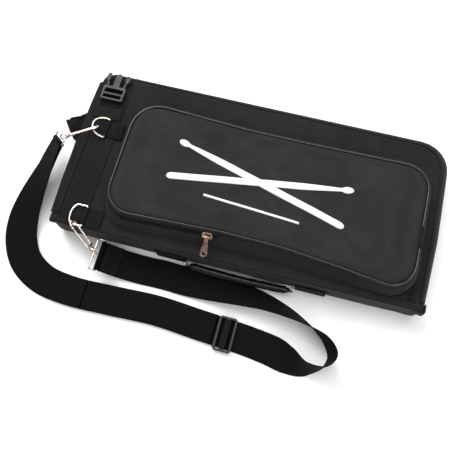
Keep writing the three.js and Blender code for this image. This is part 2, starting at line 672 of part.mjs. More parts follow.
// ---- shoulder strap -----------------------------------------------------------------------
// Strap centre line from the lower hook's loop, out along the floor, round the turn and back
// past the adjuster, then up to the upper hook's loop. Each point is x, y, z and the roll of the
// width from level, in degrees; positive roll lifts the edge on the right of travel.
const STRAP = [
  [-165.7, -138.5, 21.5, 0], [-153, -138.5, 12.6, 0], [-136, -138.5, 5.2, 0], [-112, -138.5, 1.8, 0],
  [-85, -138, 1.6, 0], [-50, -139, 2.4, 1], [-18, -139, 5.4, 12], [15, -139.5, 10.2, 28],
  [50, -142, 14.6, 45], [85, -149, 17.9, 62], [115, -159, 19.4, 80], [137, -171, 19.9, 97],
  [148, -187, 19.4, 105], [141, -202, 19.4, 95], [120, -209, 18.4, 72], [96, -204, 11.4, 34],
  [76, -198, 4.6, 9], [58, -195, 1.7, 0], [30, -192, 1.6, 0], [-20, -189, 1.6, 0],
  [-80, -185, 1.6, 0], [-140, -187, 1.6, 0], [-200, -188, 1.6, 0], [-240, -182, 1.8, 0],
  [-271, -164, 2.2, 0], [-289, -136, 3.4, 2], [-294, -108, 7, 6], [-291, -82, 14, 14],
  [-284, -56, 24, 25], [-275.5, -29, 35, 36], [-268, -7.5, 44.2, 42],
];
const strapCurve = new THREE.CatmullRomCurve3(STRAP.map(([x, y, z]) => V3(x, y, z)), false, 'centripetal');

// Point, direction, width direction and face normal of the strap at a share of its route.
function strapAt(t) {
  const count = STRAP.length - 1;
  const k = Math.min(Math.floor(t * count), count - 1);
  const roll = THREE.MathUtils.degToRad(mix(STRAP[k][3], STRAP[k + 1][3], t * count - k));
  const along = strapCurve.getTangent(t);
  const level = along.clone().cross(V3(0, 0, 1)).normalize();
  const rise = level.clone().cross(along).normalize();
  const w = level.clone().multiplyScalar(Math.cos(roll)).addScaledVector(rise, Math.sin(roll));
  return { p: strapCurve.getPoint(t), along, w, n: w.clone().cross(along).normalize() };
}

// A flat ribbon on that route, lifted off it and slid across it by the given distances.
function ribbon(from, to, steps, lift = 0, slide = () => 0) {
  const outer = [];
  const inner = [];
  for (let i = 0; i <= steps; i += 1) {
    const t = mix(from, to, i / steps);
    const { p, w, n } = strapAt(t);
    p.addScaledVector(n, lift).addScaledVector(w, slide(t));
    const edge = (side, up) => p.clone().addScaledVector(w, (side * WEBBING) / 2)
      .addScaledVector(n, (up * WEBBING_THICK) / 2);
    outer.push([edge(-1, 1), edge(1, 1)]);
    inner.push([edge(-1, -1), edge(1, -1)]);
  }
  return sheet(outer, inner);
}

const LEAD_FROM = 0.965;          // the last stretch rides with the front half
const DOUBLE_FROM = 0.6222;       // the second layer starts at the adjuster
const LAYER_LIFT = 3.2;
const lean = (t) => 7 * THREE.MathUtils.smoothstep(t, 0.72, 0.86)
  * (1 - THREE.MathUtils.smoothstep(t, 0.93, 1));
add('strap_main', ribbon(0, LEAD_FROM - 0.002, 78), BLACK);
add('strap_lead', ribbon(LEAD_FROM, 1, 4), BLACK);
add('strap_doubled', ribbon(DOUBLE_FROM, LEAD_FROM - 0.002, 36, LAYER_LIFT, lean), BLACK);
add('strap_doubled_lead', ribbon(LEAD_FROM, 1, 4, LAYER_LIFT, lean), BLACK);

// ---- snap hooks ---------------------------------------------------------------------------
const HOOK_LENGTH = 34;
const NOSE = 5.8;
const EYE_R = 3.9;
const EYE_OUT = 9.0;
// Frame of a hook: u from the swivel to the nose, v across the hook, w out of its flat.
function hookFrame(u, rollDegrees) {
  const along = u.clone().normalize();
  const across = along.clone().cross(V3(0, 0, 1)).normalize();
  const third = across.clone().cross(along);
  const r = THREE.MathUtils.degToRad(rollDegrees);
  const v = across.multiplyScalar(Math.cos(r)).addScaledVector(third, Math.sin(r));
  return { u: along, v, w: along.clone().cross(v) };
}
const inFrame = (base, f, a, b, c = 0) => base.clone()
  .addScaledVector(f.u, a).addScaledVector(f.v, b).addScaledVector(f.w, c);

function hookParts(base, f) {
  const line = [[1.2, 4.8], [12, 5.3], [24, NOSE], [HOOK_LENGTH, NOSE]];
  for (let k = 1; k < 10; k += 1) {
    const a = Math.PI / 2 - (Math.PI * k) / 10;
    line.push([HOOK_LENGTH + NOSE * Math.cos(a), NOSE * Math.sin(a)]);
  }
  line.push([HOOK_LENGTH, -NOSE], [HOOK_LENGTH - 3.5, -NOSE]);
  const wire = rod(line.map(([a, b]) => inFrame(base, f, a, b)), HOOK_WIRE, false, 8);
  const block = rod([inFrame(base, f, 0, 6.2), inFrame(base, f, 0, -2.4)], 2.0, false, 8);
  const neck = rod([inFrame(base, f, 0, 0), inFrame(base, f, -3.6, 0)], 1.3, false, 8);
  const head = rod([inFrame(base, f, -3.0, 0), inFrame(base, f, -4.2, 0)], 2.0, false, 10);
  const body = join(wire, block, neck, head);
  const gate = rod([inFrame(base, f, 0.4, -4.6), inFrame(base, f, 27, -NOSE), inFrame(base, f, 29.6, -NOSE)],
    1.0, false, 8);
  return { body, gate };
}
// Swivel eye: a cap the hook's headed pin turns in, carrying a small ring for the loop's bar.
function swivelEye(base, f, bar) {
  const across = bar.clone().cross(f.u).normalize();
  const cap = rod([inFrame(base, f, -2.4, 0), inFrame(base, f, -5.8, 0)], 3.3, false, 12);
  const bore = rod([inFrame(base, f, -1, 0), inFrame(base, f, -2.7, 0)], 1.65, false, 12);
  const room = rod([inFrame(base, f, -2.65, 0), inFrame(base, f, -4.6, 0)], 2.4, false, 12);
  const ring = [];
  for (let k = 0; k < 16; k += 1) {
    const a = (2 * Math.PI * k) / 16;
    ring.push(inFrame(base, f, -EYE_OUT - 0.4 + EYE_R * Math.cos(a), 0)
      .addScaledVector(across, EYE_R * Math.sin(a)));
  }
  return cut(join(cap, rod(ring, 1.1, true, 8)), bore, room);
}
// Rectangular strap loop: bars along b, pulled toward p from the bar through the eye.
const LOOP_HALF = WEBBING / 2 + 1.6;
const LOOP_DEEP = 9.5;
function strapLoop(middle, b, p) {
  const corner = (sb, sp) => {
    const points = [];
    const r = 2.4;
    const quadrant = { '11': 0, '-11': 90, '-1-1': 180, '1-1': 270 }[`${sb}${sp}`];
    for (let k = 0; k <= 3; k += 1) {
      const a = THREE.MathUtils.degToRad(quadrant + 30 * k);
      const x = sb * (LOOP_HALF - r) + r * Math.cos(a);
      const y = LOOP_DEEP / 2 + sp * (LOOP_DEEP / 2 - r) + r * Math.sin(a);
      points.push(middle.clone().addScaledVector(b, x).addScaledVector(p, y));
    }
    return points;
  };
  return rod([...corner(1, 1), ...corner(-1, 1), ...corner(-1, -1), ...corner(1, -1)], LOOP_WIRE, true, 8);
}

// The upper loop takes the strap's end; its near bar passes through the hook's eye.
const eyeReach = EYE_OUT + 0.4;
const BAR_GAP = LOOP_WIRE + 1.2;
const upperEnd = strapAt(1);
const upperFar = upperEnd.p.clone().addScaledVector(upperEnd.along, BAR_GAP)
  .addScaledVector(upperEnd.n, LAYER_LIFT / 2);
const upperNear = upperFar.clone().addScaledVector(upperEnd.along, LOOP_DEEP);
add('loop_upper', strapLoop(upperNear, upperEnd.w, upperEnd.along.clone().negate()), NICKEL, 0.25, 1);
const UPPER_EYE_OFFSET = 9.5;
const upperU = V3(0.863, 0.501, 0.071).normalize();
const upperBase = upperNear.clone().addScaledVector(upperEnd.w, UPPER_EYE_OFFSET).addScaledVector(upperU, eyeReach);
const upperFrame = hookFrame(upperU, 54);
{
  const { body, gate } = hookParts(upperBase, upperFrame);
  add('hook_upper', body, NICKEL, 0.25, 1);
  add('hook_upper_gate', gate, NICKEL, 0.25, 1);
  add('eye_upper', swivelEye(upperBase, upperFrame, upperEnd.w), NICKEL, 0.25, 1);
}
const lowerStart = strapAt(0);
const lowerFar = lowerStart.p.clone().addScaledVector(lowerStart.along, -BAR_GAP)
  .addScaledVector(lowerStart.n, LAYER_LIFT / 2);
// The lower ring's near leg lies on the line the bag opens about, and the hook holds it there.
const lowerU = V3(-0.66, 0.52, 0.54).normalize();
const LOWER_CROSSING = V3(-204.4, HINGE_Y, HINGE_Z);
const lowerBase = LOWER_CROSSING.clone().addScaledVector(lowerU, -HOOK_LENGTH - 0.6);
const lowerAcross = lowerU.clone().cross(V3(1, 0, 0)).normalize();
const lowerFrame = { u: lowerU, v: lowerAcross, w: lowerU.clone().cross(lowerAcross) };
const lowerEye = lowerBase.clone().addScaledVector(lowerU, -eyeReach);
const lowerNear = V3(lowerEye.x, lowerFar.y, lowerEye.z);
add('loop_lower', strapLoop(lowerNear, lowerStart.w, lowerFar.clone().sub(lowerNear).normalize()), NICKEL, 0.25, 1);
{
  const { body, gate } = hookParts(lowerBase, lowerFrame);
  add('hook_lower', body, NICKEL, 0.25, 1);
  add('hook_lower_gate', gate, NICKEL, 0.25, 1);
  add('eye_lower', swivelEye(lowerBase, lowerFrame, lowerStart.w), NICKEL, 0.25, 1);
}

// A layer of webbing given by rows of { p, w, n }: centre, width direction, face normal.
function layer(rows, width = WEBBING) {
  const edge = ({ p, w, n }, side, up) => p.clone().addScaledVector(w, (side * width) / 2)
    .addScaledVector(n, (up * WEBBING_THICK) / 2);
  return sheet(
    rows.map((row) => [edge(row, -1, 1), edge(row, 1, 1)]),
    rows.map((row) => [edge(row, -1, -1), edge(row, 1, -1)]),
  );
}
// Half turn of webbing round a loop's bar: back points from the bar toward the strap.
const FOLD_R = LOOP_WIRE + 0.35 + WEBBING_THICK / 2;
function fold(bar, back, n, w) {
  const rows = [{ p: bar.clone().addScaledVector(back, 2.0).addScaledVector(n, FOLD_R), w, n }];
  for (let k = 0; k <= 8; k += 1) {
    const a = (Math.PI * k) / 8;
    const out = n.clone().multiplyScalar(Math.cos(a)).addScaledVector(back, -Math.sin(a));
    rows.push({ p: bar.clone().addScaledVector(out, FOLD_R), w, n: out });
  }
  rows.push({ p: bar.clone().addScaledVector(back, 2.0).addScaledVector(n, -FOLD_R), w, n: n.clone().negate() });
  return rows;
}
const upperBar = upperNear.clone().addScaledVector(upperEnd.along, -LOOP_DEEP);
add('strap_fold_upper', layer(fold(upperBar, upperEnd.along.clone().negate(), upperEnd.n, upperEnd.w)), BLACK);
const lowerPull = lowerFar.clone().sub(lowerNear).normalize();
const lowerBar = lowerNear.clone().addScaledVector(lowerPull, LOOP_DEEP);
add('strap_fold_lower', layer(fold(lowerBar, lowerStart.along, lowerStart.n, lowerStart.w)), BLACK);
add('strap_end_return', ribbon(0.001, 0.05, 4, LAYER_LIFT), BLACK);

// Adjuster: a frame with a middle bar, and the strap's sewn end wrapped round that bar.
const ADJUST = { x: 13, y: -192.5 };
{
  const plate = flat(
    [[-12, -19], [-9.5, -21.8], [9.5, -21.8], [12, -19], [12, 19], [9.5, 21.8], [-9.5, 21.8], [-12, 19]],
    2.9,
    7.4,
  );
  const frame = cut(plate, box(-8.8, -2.2, -19.2, 19.2, 0, 9), box(2.2, 8.8, -19.2, 19.2, 0, 9));
  frame.translate(ADJUST.x, ADJUST.y, 0);
  add('adjuster', frame, 0x161617, 0.55);
  const wrap = [[-3.9, 7.7], [3.9, 7.7]];
  const over = wrap.map(([x, z]) => [V3(ADJUST.x + x, ADJUST.y - 18.6, z + 1.2), V3(ADJUST.x + x, ADJUST.y + 18.6, z + 1.2)]);
  const under = wrap.map(([x, z]) => [V3(ADJUST.x + x, ADJUST.y - 18.6, z), V3(ADJUST.x + x, ADJUST.y + 18.6, z)]);
  add('adjuster_webbing', sheet(over, under), BLACK);
}

// ---- carry handle -------------------------------------------------------------------------
const HANDLE = { x0: -58, x1: 82, y: -118.6, z: 20 };
{
  const grip = [];
  for (let i = 0; i <= 14; i += 1) {
    const t = i / 14;
    const sag = Math.sin(Math.PI * t) ** 0.6;
    grip.push(V3(mix(HANDLE.x0 + 4, HANDLE.x1 - 4, t), HANDLE.y - 1.6 - 1.6 * sag, HANDLE.z - 5 - 4.2 * sag));
  }
  add('handle_grip', rod(grip, 5, false, 12), BLACK, 0.8);
}
const handleAnchor = (x0, x1) => box(x0, x1, SPINE_Y - 2.2, SPINE_Y - 0.4, 8, 30);
add('handle_tab_left', handleAnchor(-100, HANDLE.x0 - 2), BLACK);
add('handle_tab_right', handleAnchor(HANDLE.x1 + 2, 124), BLACK);
for (const [name, x] of [['handle_ring_left', HANDLE.x0], ['handle_ring_right', HANDLE.x1]]) {
  const points = [];
  for (let k = 0; k < 16; k += 1) {
    const a = (2 * Math.PI * k) / 16;
    points.push(V3(x, HANDLE.y - 2.4 + 3.1 * Math.cos(a), HANDLE.z + 3 + 5.4 * Math.sin(a)));
  }
  add(name, rod(points, 1.1, true, 8), NICKEL, 0.25, 1);
}

// ---- corner flap at the mouth -------------------------------------------------------------
const FLAP = [
  [[-246.5, 12], [-246.5, 88]], [[-254, 11], [-250, 76]], [[-262, 13], [-256, 58]],
  [[-270, 22], [-264, 47]], [[-278, 33], [-274, 40]],
];
{
  const height = (k) => 6 + [0, 4.5, 10, 15.5, 19][k];
  const row = (k, up) => Array.from({ length: 5 }, (_, j) => {
    const t = j / 4;
    const [[x0, y0], [x1, y1]] = FLAP[k];
    const wave = 2.2 * Math.sin(t * Math.PI * 2) * (k / 4);
    return V3(mix(x0, x1, t), mix(y0, y1, t), height(k) + wave + up);
  });
  add('corner_flap', sheet(FLAP.map((_, k) => row(k, 1.4)), FLAP.map((_, k) => row(k, 0))), CHARCOAL);
}

export default part;
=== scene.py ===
# A padded drum stick bag lying on its back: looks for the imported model.
# Metres, +X from the mouth to the bottom end, +Y from the spine to the zip side, +Z up.
import math
from contextlib import contextmanager

import bmesh
import bpy
from mathutils import Matrix, Vector, noise


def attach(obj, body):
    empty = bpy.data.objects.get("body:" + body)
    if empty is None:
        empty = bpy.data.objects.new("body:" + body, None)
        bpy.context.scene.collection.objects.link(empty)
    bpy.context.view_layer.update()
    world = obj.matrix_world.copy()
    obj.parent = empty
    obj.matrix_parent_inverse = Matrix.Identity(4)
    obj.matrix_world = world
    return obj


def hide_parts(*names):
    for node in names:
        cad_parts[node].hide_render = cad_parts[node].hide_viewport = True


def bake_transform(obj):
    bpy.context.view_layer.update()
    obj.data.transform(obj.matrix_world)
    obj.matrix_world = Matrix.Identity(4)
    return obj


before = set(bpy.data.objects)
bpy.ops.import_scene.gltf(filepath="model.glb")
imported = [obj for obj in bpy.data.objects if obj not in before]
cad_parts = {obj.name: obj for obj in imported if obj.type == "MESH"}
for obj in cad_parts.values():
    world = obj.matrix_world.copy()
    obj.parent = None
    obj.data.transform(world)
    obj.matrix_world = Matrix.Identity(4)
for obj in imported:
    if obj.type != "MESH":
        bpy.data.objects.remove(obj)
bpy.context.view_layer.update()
MM = 0.001
UP = Vector((0, 0, 1))
WELD = 1e-6                       # metres within which two points are one
MOST_SIDES = 12                   # faces with more sides are cut into triangles
FLAT_TURN = math.radians(2)       # CAD faces that turn less than this are one flat face
ROUNDED_TURN = math.radians(35)   # edges that turn more than this are rounded over
SHARP_TURN = math.radians(38)     # edges that turn more than this are shaded sharp

# Shapes repeated from the model, in millimetres: corners are x, y and corner radius.
WIDEST = [(-240, -114, 9), (-40, -114, 0), (120, -114, 0), (241, -114, 8), (245, -20, 0),
          (243, 113, 38), (-40, 113, 0), (-240, 113, 12), (-244, 10, 0)]
FRONT_PANEL = [(-239, -113, 8), (-40, -113, 0), (120, -113, 0), (230, -113, 8), (229, -20, 0),
               (227, 97, 32), (-40, 99, 0), (-239, 101, 10), (-243, 10, 0)]
LID_X = -18                       # the free end of the pocket folds back about this line
POCKET_BASE = [(-176, -105, 36), (LID_X, -99, 0), (60, -100, 0), (130, -103, 0), (226, -108, 34),
               (225, 67, 36), (60, 64, 0), (LID_X, 64, 0), (-177, 72, 38)]
POCKET_RIM = [(-173, -92, 34), (LID_X, -85, 0), (60, -86, 0), (130, -93, 0), (222, -104, 32),
              (221, 63, 34), (60, 60, 0), (LID_X, 60, 0), (-173, 68, 36)]
SURFACE = 50.3                    # top of the front panel
POCKET_TOP = 74.0
RIM_Z = POCKET_TOP - 2.2
PIPING_R = 1.9
POCKET_ZIP = 0.76                 # height of the pocket zip on the pocket's side, as a share
BACK_DEPTH = 31.5
ZIP_GAP = 1.0
BAG_DEPTH = 50.0
ROLL_FROM = 37.5                  # height at which the front half starts to roll in to its panel
SPINE_EDGE = -106.0               # an outline nearer than this runs along the spine
LINING_MOUTH = -234.0             # the linings stop here, inside the mouth
ZIP_STEP = 4.0                    # spacing of points along the main zip
WEBBING = 38.0
WEBBING_THICK = 1.6
LAYER_LIFT = 3.2                  # from the lower layer of webbing to the upper one

# Centre line of the shoulder strap and the roll of its width from level, in degrees.
STRAP = [
    (-165.7, -138.5, 21.5, 0), (-153, -138.5, 12.6, 0), (-136, -138.5, 5.2, 0), (-112, -138.5, 1.8, 0),
    (-85, -138, 1.6, 0), (-50, -139, 2.4, 1), (-18, -139, 5.4, 12), (15, -139.5, 10.2, 28),
    (50, -142, 14.6, 45), (85, -149, 17.9, 62), (115, -159, 19.4, 80), (137, -171, 19.9, 97),
    (148, -187, 19.4, 105), (141, -202, 19.4, 95), (120, -209, 18.4, 72), (96, -204, 11.4, 34),
    (76, -198, 4.6, 9), (58, -195, 1.7, 0), (30, -192, 1.6, 0), (-20, -189, 1.6, 0),
    (-80, -185, 1.6, 0), (-140, -187, 1.6, 0), (-200, -188, 1.6, 0), (-240, -182, 1.8, 0),
    (-271, -164, 2.2, 0), (-289, -136, 3.4, 2), (-294, -108, 7, 6), (-291, -82, 14, 14),
    (-284, -56, 24, 25), (-275.5, -29, 35, 36), (-268, -7.5, 44.2, 42),
]
ROUTE_STEPS = 520                 # of webbing mesh along the whole route
DOUBLE_FROM = 0.6222              # share of the route where the adjuster starts the second layer
SLIDES_TO = 0.72                  # share of the route up to which that layer slides with it


# ---- small helpers ------------------------------------------------------------------------
def mix(a, b, t):
    return a + (b - a) * t


def smoothstep(t, low, high):
    t = min(1.0, max(0.0, (t - low) / (high - low)))
    return t * t * (3 - 2 * t)


@contextmanager
def editing(mesh):
    """Opens a mesh for bmesh work and writes it back."""
    bm = bmesh.new()
    bm.from_mesh(mesh)
    yield bm
    bm.to_mesh(mesh)
    bm.free()


def joined(piece, body=None, nodes=()):
    """Ties a piece to its body and to the CAD nodes it stands for."""
    if body:
        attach(piece, body)
    if nodes:
        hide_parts(*nodes)
    return piece


def new_object(name, mesh, material, body=None, nodes=()):
    """A smooth-shaded piece of the scene, tied as in joined."""
    obj = bpy.data.objects.new(name, mesh)
    bpy.context.scene.collection.objects.link(obj)
    mesh.materials.clear()
    mesh.materials.append(material)
    mesh.polygons.foreach_set("use_smooth", [True] * len(mesh.polygons))
    return joined(obj, body, nodes)


def mesh_from(name, vertices, faces):
    """A mesh from millimetre points, with every face turned outward."""
    mesh = bpy.data.meshes.new(name)
    mesh.from_pydata([Vector(v) * MM for v in vertices], [], faces)
    with editing(mesh) as bm:
        bmesh.ops.remove_doubles(bm, verts=bm.verts, dist=WELD)
        many_sided = [f for f in bm.faces if len(f.verts) > MOST_SIDES]
        bmesh.ops.triangulate(bm, faces=many_sided)
        bmesh.ops.recalc_face_normals(bm, faces=bm.faces)
    return mesh


def apply_modifiers(obj):
    """Bakes the modifiers into the mesh."""
    graph = bpy.context.evaluated_depsgraph_get()
    mesh = bpy.data.meshes.new_from_object(obj.evaluated_get(graph))
    obj.modifiers.clear()
    obj.data = mesh
    mesh.polygons.foreach_set("use_smooth", [True] * len(mesh.polygons))
    return obj


def copy_of_node(node, name, material):
    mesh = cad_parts[node].data.copy()
    mesh.name = name
    with editing(mesh) as bm:
        bmesh.ops.remove_doubles(bm, verts=bm.verts, dist=WELD)
    return new_object(name, mesh, material)


def bevelled(node, name, material, body, width=0.4):
    """A copy of a CAD solid with its sharp edges rounded over."""
    obj = copy_of_node(node, name, material)
    with editing(obj.data) as bm:
        bmesh.ops.dissolve_limit(bm, angle_limit=FLAT_TURN, verts=bm.verts, edges=bm.edges)
    bevel = obj.modifiers.new("edges", "BEVEL")
    bevel.width = width * MM
    bevel.segments = 2
    bevel.limit_method = "ANGLE"
    bevel.angle_limit = ROUNDED_TURN
    apply_modifiers(obj)
    keep_flat_faces(obj)
    return joined(obj, body, [node])


def keep_flat_faces(obj):
    """Sharp shading only across real corners."""
    with editing(obj.data) as bm:
        for edge in bm.edges:
            if len(edge.link_faces) == 2:
                edge.smooth = edge.calc_face_angle(0) < SHARP_TURN


def remeshed(node, name, material, voxel, rounds):
    """A copy of a CAD solid rebuilt from cells of voxel millimetres, then smoothed."""
    obj = copy_of_node(node, name, material)
    remesh = obj.modifiers.new("skin", "REMESH")
    remesh.mode = "VOXEL"
    remesh.voxel_size = voxel * MM
    smooth = obj.modifiers.new("polish", "SMOOTH")
    smooth.factor = 0.5
    smooth.iterations = rounds
    return apply_modifiers(obj)


def push_out(obj, distance_at):
    """Moves each vertex along its normal, by metres that depend on its place."""
    vertices = obj.data.vertices
    normals = [v.normal.copy() for v in vertices]
    for v, normal in zip(vertices, normals):
        v.co += normal * distance_at(v.co)


def cast(node, name, material, body, voxel, rounds=3, grow=0.12):
    """A smooth cast copy of a CAD solid, such as a hook or a ring."""
    obj = remeshed(node, name, material, voxel, rounds)
    push_out(obj, lambda place: grow * MM)
    return joined(obj, body, [node])


def wrinkle(point, size, amount, seed):
    """Height of soft folds at a point, in metres."""
    p = point / (size * MM) + Vector((seed * 7.3, seed * 3.1, seed * 1.7))
    return (noise.noise(p) + 0.35 * noise.noise(p * 2.7)) * amount * MM


def softened(node, name, body, voxel, rounds, size, amount, seed):
    """A CAD shell turned to padded cloth: edges relaxed and faces gently uneven, less so at the mouth."""
    obj = remeshed(node, name, BODY_CLOTH, voxel, rounds)

    def unevenness(place):
        calm = 0.4 + 0.6 * smoothstep(place.x, -0.19, -0.14)
        return wrinkle(place, size, amount, seed) * calm

    push_out(obj, unevenness)
    for v in obj.data.vertices:
        v.co.z = max(v.co.z, 0.0)
    return joined(obj, body, [node])


# ---- camera, light and floor --------------------------------------------------------------
def make_camera():
    azimuth, elevation, roll = math.radians(17.3), math.radians(68.91), math.radians(-3.06)
    distance = 0.8366
    target = Vector((0, -0.004, 0.030))
    back = Vector((math.sin(azimuth) * math.cos(elevation), -math.cos(azimuth) * math.cos(elevation),
                   math.sin(elevation)))
    right = Vector((math.cos(azimuth), math.sin(azimuth), 0))
    up = back.cross(right)
    across = right * math.cos(roll) + up * math.sin(roll)
    upward = up * math.cos(roll) - right * math.sin(roll)
    data = bpy.data.cameras.new("camera")
    data.sensor_width = 36
    data.lens = 50.5
    data.shift_x = -0.0601
    data.shift_y = -0.0795
    camera = bpy.data.objects.new("camera", data)
    place = Matrix((across, upward, back)).transposed().to_4x4()
    place.translation = target + back * distance
    camera.matrix_world = place
    bpy.context.scene.collection.objects.link(camera)
    bpy.context.scene.camera = camera


def area_light(name, place, aim, size, power, colour=(1, 1, 1)):
    data = bpy.data.lights.new(name, "AREA")
    data.shape = "RECTANGLE"
    data.size = size[0]
    data.size_y = size[1]
    data.energy = power
    data.color = colour
    light = bpy.data.objects.new(name, data)
    light.location = place
    light.rotation_euler = (Vector(aim) - Vector(place)).to_track_quat("-Z", "Y").to_euler()
    bpy.context.scene.collection.objects.link(light)


def make_studio():
    middle = (0, 0, 0)
    area_light("key", (-0.9, 0.9, 1.5), middle, (1.0, 1.0), 30)
    area_light("fill", (1.1, -0.9, 1.2), middle, (1.2, 0.8), 13, (1.0, 0.97, 0.95))
    area_light("top", (0.1, 0.2, 1.9), middle, (1.3, 0.9), 17)
    area_light("rim", (0.3, 1.4, 0.5), (0, 0, 0.03), (1.2, 0.3), 6, (0.92, 0.96, 1.0))
    bpy.context.scene.view_settings.view_transform = "Standard"
    world = bpy.data.worlds.new("studio")
    world.use_nodes = True
    background = world.node_tree.nodes["Background"]
    background.inputs["Color"].default_value = (1, 1, 1, 1)
    background.inputs["Strength"].default_value = 0.35
    bpy.context.scene.world = world
    reach, level = 9000, -0.3
    corners = [(x * reach, y * reach, level) for x, y in ((-1, -1), (1, -1), (1, 1), (-1, 1))]
    mesh = mesh_from("floor", corners, [(0, 1, 2, 3)])
    new_object("floor", mesh, plain("floor_paper", (0.97, 0.97, 0.97), 0.95))


# ---- materials ----------------------------------------------------------------------------
class Look:
    """A procedural material: its main shader, and a method for each kind of node that feeds it."""

    def __init__(self, name, colour, roughness, metallic=0.0, coat=0.0, sheen=0.0, specular=0.5):
        self.material = bpy.data.materials.new(name)
        self.material.use_nodes = True
        self.tree = self.material.node_tree
        self.sockets = self.tree.nodes["Principled BSDF"].inputs
        self.sockets["Base Color"].default_value = (*colour, 1)
        self.sockets["Roughness"].default_value = roughness
        self.sockets["Metallic"].default_value = metallic
        self.sockets["Coat Weight"].default_value = coat
        self.sockets["Coat Roughness"].default_value = 0.15
        self.sockets["Sheen Weight"].default_value = sheen
        self.sockets["Sheen Roughness"].default_value = 0.5
        self.sockets["Specular IOR Level"].default_value = specular

    def node(self, kind, inputs=None, **settings):
        """A new node; each of its inputs is given a constant or the socket that feeds it."""
        made = self.tree.nodes.new(kind)
        for key, value in settings.items():
            setattr(made, key, value)
        for socket, value in (inputs or {}).items():
            if isinstance(value, bpy.types.NodeSocket):
                self.tree.links.new(value, made.inputs[socket])
            else:
                made.inputs[socket].default_value = value
        return made

    def place(self, kind="Object"):
        return self.node("ShaderNodeTexCoord").outputs[kind]

    def bands(self, source, axis, pitch):
        """Sine bands across one axis, one every pitch millimetres."""
        inputs = {"Vector": source, "Scale": math.pi / 10 / (pitch * MM), "Distortion": 0.6, "Detail": 1.0}
        return self.node("ShaderNodeTexWave", inputs, wave_type="BANDS", bands_direction=axis).outputs["Fac"]

    def speckle(self, source, scale, detail, roughness=0.6):
        inputs = {"Vector": source, "Scale": scale, "Detail": detail, "Roughness": roughness}
        return self.node("ShaderNodeTexNoise", inputs).outputs["Fac"]

    def times(self, a, b):
        return self.node("ShaderNodeMath", {0: a, 1: b}, operation="MULTIPLY").outputs[0]

    def plus(self, a, b, share):
        """The sum of a and a share of b."""
        return self.node("ShaderNodeMath", {0: a, 1: self.times(b, share)}, operation="ADD").outputs[0]

    def ramp(self, socket, factor, low, high, start, end):
        """Feeds the main shader from one colour to another as the factor goes from start to end."""
        made = self.node("ShaderNodeValToRGB", {"Fac": factor})
        for element, position, colour in zip(made.color_ramp.elements, (start, end), (low, high)):
            element.position = position
            element.color = (*colour, 1)
        self.tree.links.new(made.outputs["Color"], self.sockets[socket])

    def tone(self, factor, low, high, start, end):
        self.ramp("Base Color", factor, low, high, start, end)

    def polish(self, factor, low, high):
        self.ramp("Roughness", factor, (low,) * 3, (high,) * 3, 0.3, 0.7)

    def bump(self, height, distance, strength=0.6):
        """Relief of so many millimetres."""
        inputs = {"Strength": strength, "Distance": distance * MM, "Height": height}
        made = self.node("ShaderNodeBump", inputs)
        self.tree.links.new(made.outputs["Normal"], self.sockets["Normal"])


def scaled(colour, factor, offset=0.0):
    return tuple(c * factor + offset for c in colour)


def plain(name, colour, roughness):
    """A lightly mottled matt surface, for the floor."""
    look = Look(name, colour, roughness, specular=0.1)
    look.tone(look.speckle(look.place(), 30, 3), scaled(colour, 0.985), colour, 0.4, 0.6)
    return look.material


def woven(name, dark, light, pitch=0.9, sheen=0.25, roughness=0.86, relief=0.22):
    """Plain-weave polyester: crossing yarns, slubs, a dusty mottle and a fine nap."""
    look = Look(name, dark, roughness, sheen=sheen, specular=0.14)
    place = look.place()
    warp, weft, rise = (look.bands(place, axis, pitch) for axis in "XYZ")
    slubs = look.speckle(place, 900, 2)
    mottle = look.speckle(place, 14, 5)
    flecks = look.speckle(place, 420, 2, 0.8)
    yarns = look.plus(look.times(warp, weft), rise, 0.35)
    weave = look.plus(yarns, slubs, 0.5)
    tone = look.plus(look.plus(look.times(mottle, 0.42), weave, 0.2), flecks, 0.3)
    look.tone(tone, dark, light, 0.3, 0.72)
    look.polish(slubs, roughness - 0.1, roughness + 0.08)
    look.bump(weave, relief)
    return look.material


def ribbed(name, dark, light, pitch=2.5, by="UV", axis="X", relief=0.55):
    """Heavy webbing: ribs across its length, a fine twill on them, and painted shade in the grooves."""
    look = Look(name, dark, 0.78, specular=0.06)
    place = look.place(by)
    ribs = look.bands(place, axis, pitch)
    twill = look.bands(place, "Y" if axis == "X" else "X", 0.8)
    fuzz = look.speckle(look.place(), 700, 3)
    height = look.plus(look.plus(ribs, twill, 0.22), fuzz, 0.3)
    # The colour follows the relief: painted shade darkens the grooves between the ribs.
    look.tone(height, dark, light, 0.25, 1.0)
    look.polish(fuzz, 0.68, 0.9)
    look.bump(height, relief, 0.8)
    return look.material


def vinyl(name, colour):
    """Soft glossy vinyl with fine creases."""
    look = Look(name, colour, 0.22, coat=0.12, specular=0.32)
    creases = look.speckle(look.place(), 160, 4)
    look.tone(creases, colour, scaled(colour, 1.9, 0.004), 0.35, 0.75)
    look.polish(creases, 0.16, 0.34)
    look.bump(creases, 0.12, 0.4)
    return look.material


def metal(name, colour, tint, roughness=0.16):
    """Plated metal with faint polishing marks and a slightly uneven tone."""
    look = Look(name, colour, roughness, metallic=1.0)
    place = look.place()
    clouds = look.speckle(place, 240, 4)
    look.tone(clouds, tint, colour, 0.35, 0.65)
    look.polish(clouds, roughness, roughness + 0.14)
    look.bump(look.speckle(place, 2600, 2), 0.02, 0.3)
    return look.material


def moulded(name, colour):
    """Moulded plastic with a fine spark-eroded grain and rubbed, paler high spots."""
    look = Look(name, colour, 0.42, specular=0.3)
    place = look.place()
    rub = look.speckle(place, 150, 4)
    look.tone(rub, colour, scaled(colour, 2.0, 0.006), 0.4, 0.8)
    look.polish(rub, 0.36, 0.52)
    look.bump(look.speckle(place, 3200, 2), 0.03, 0.5)
    return look.material


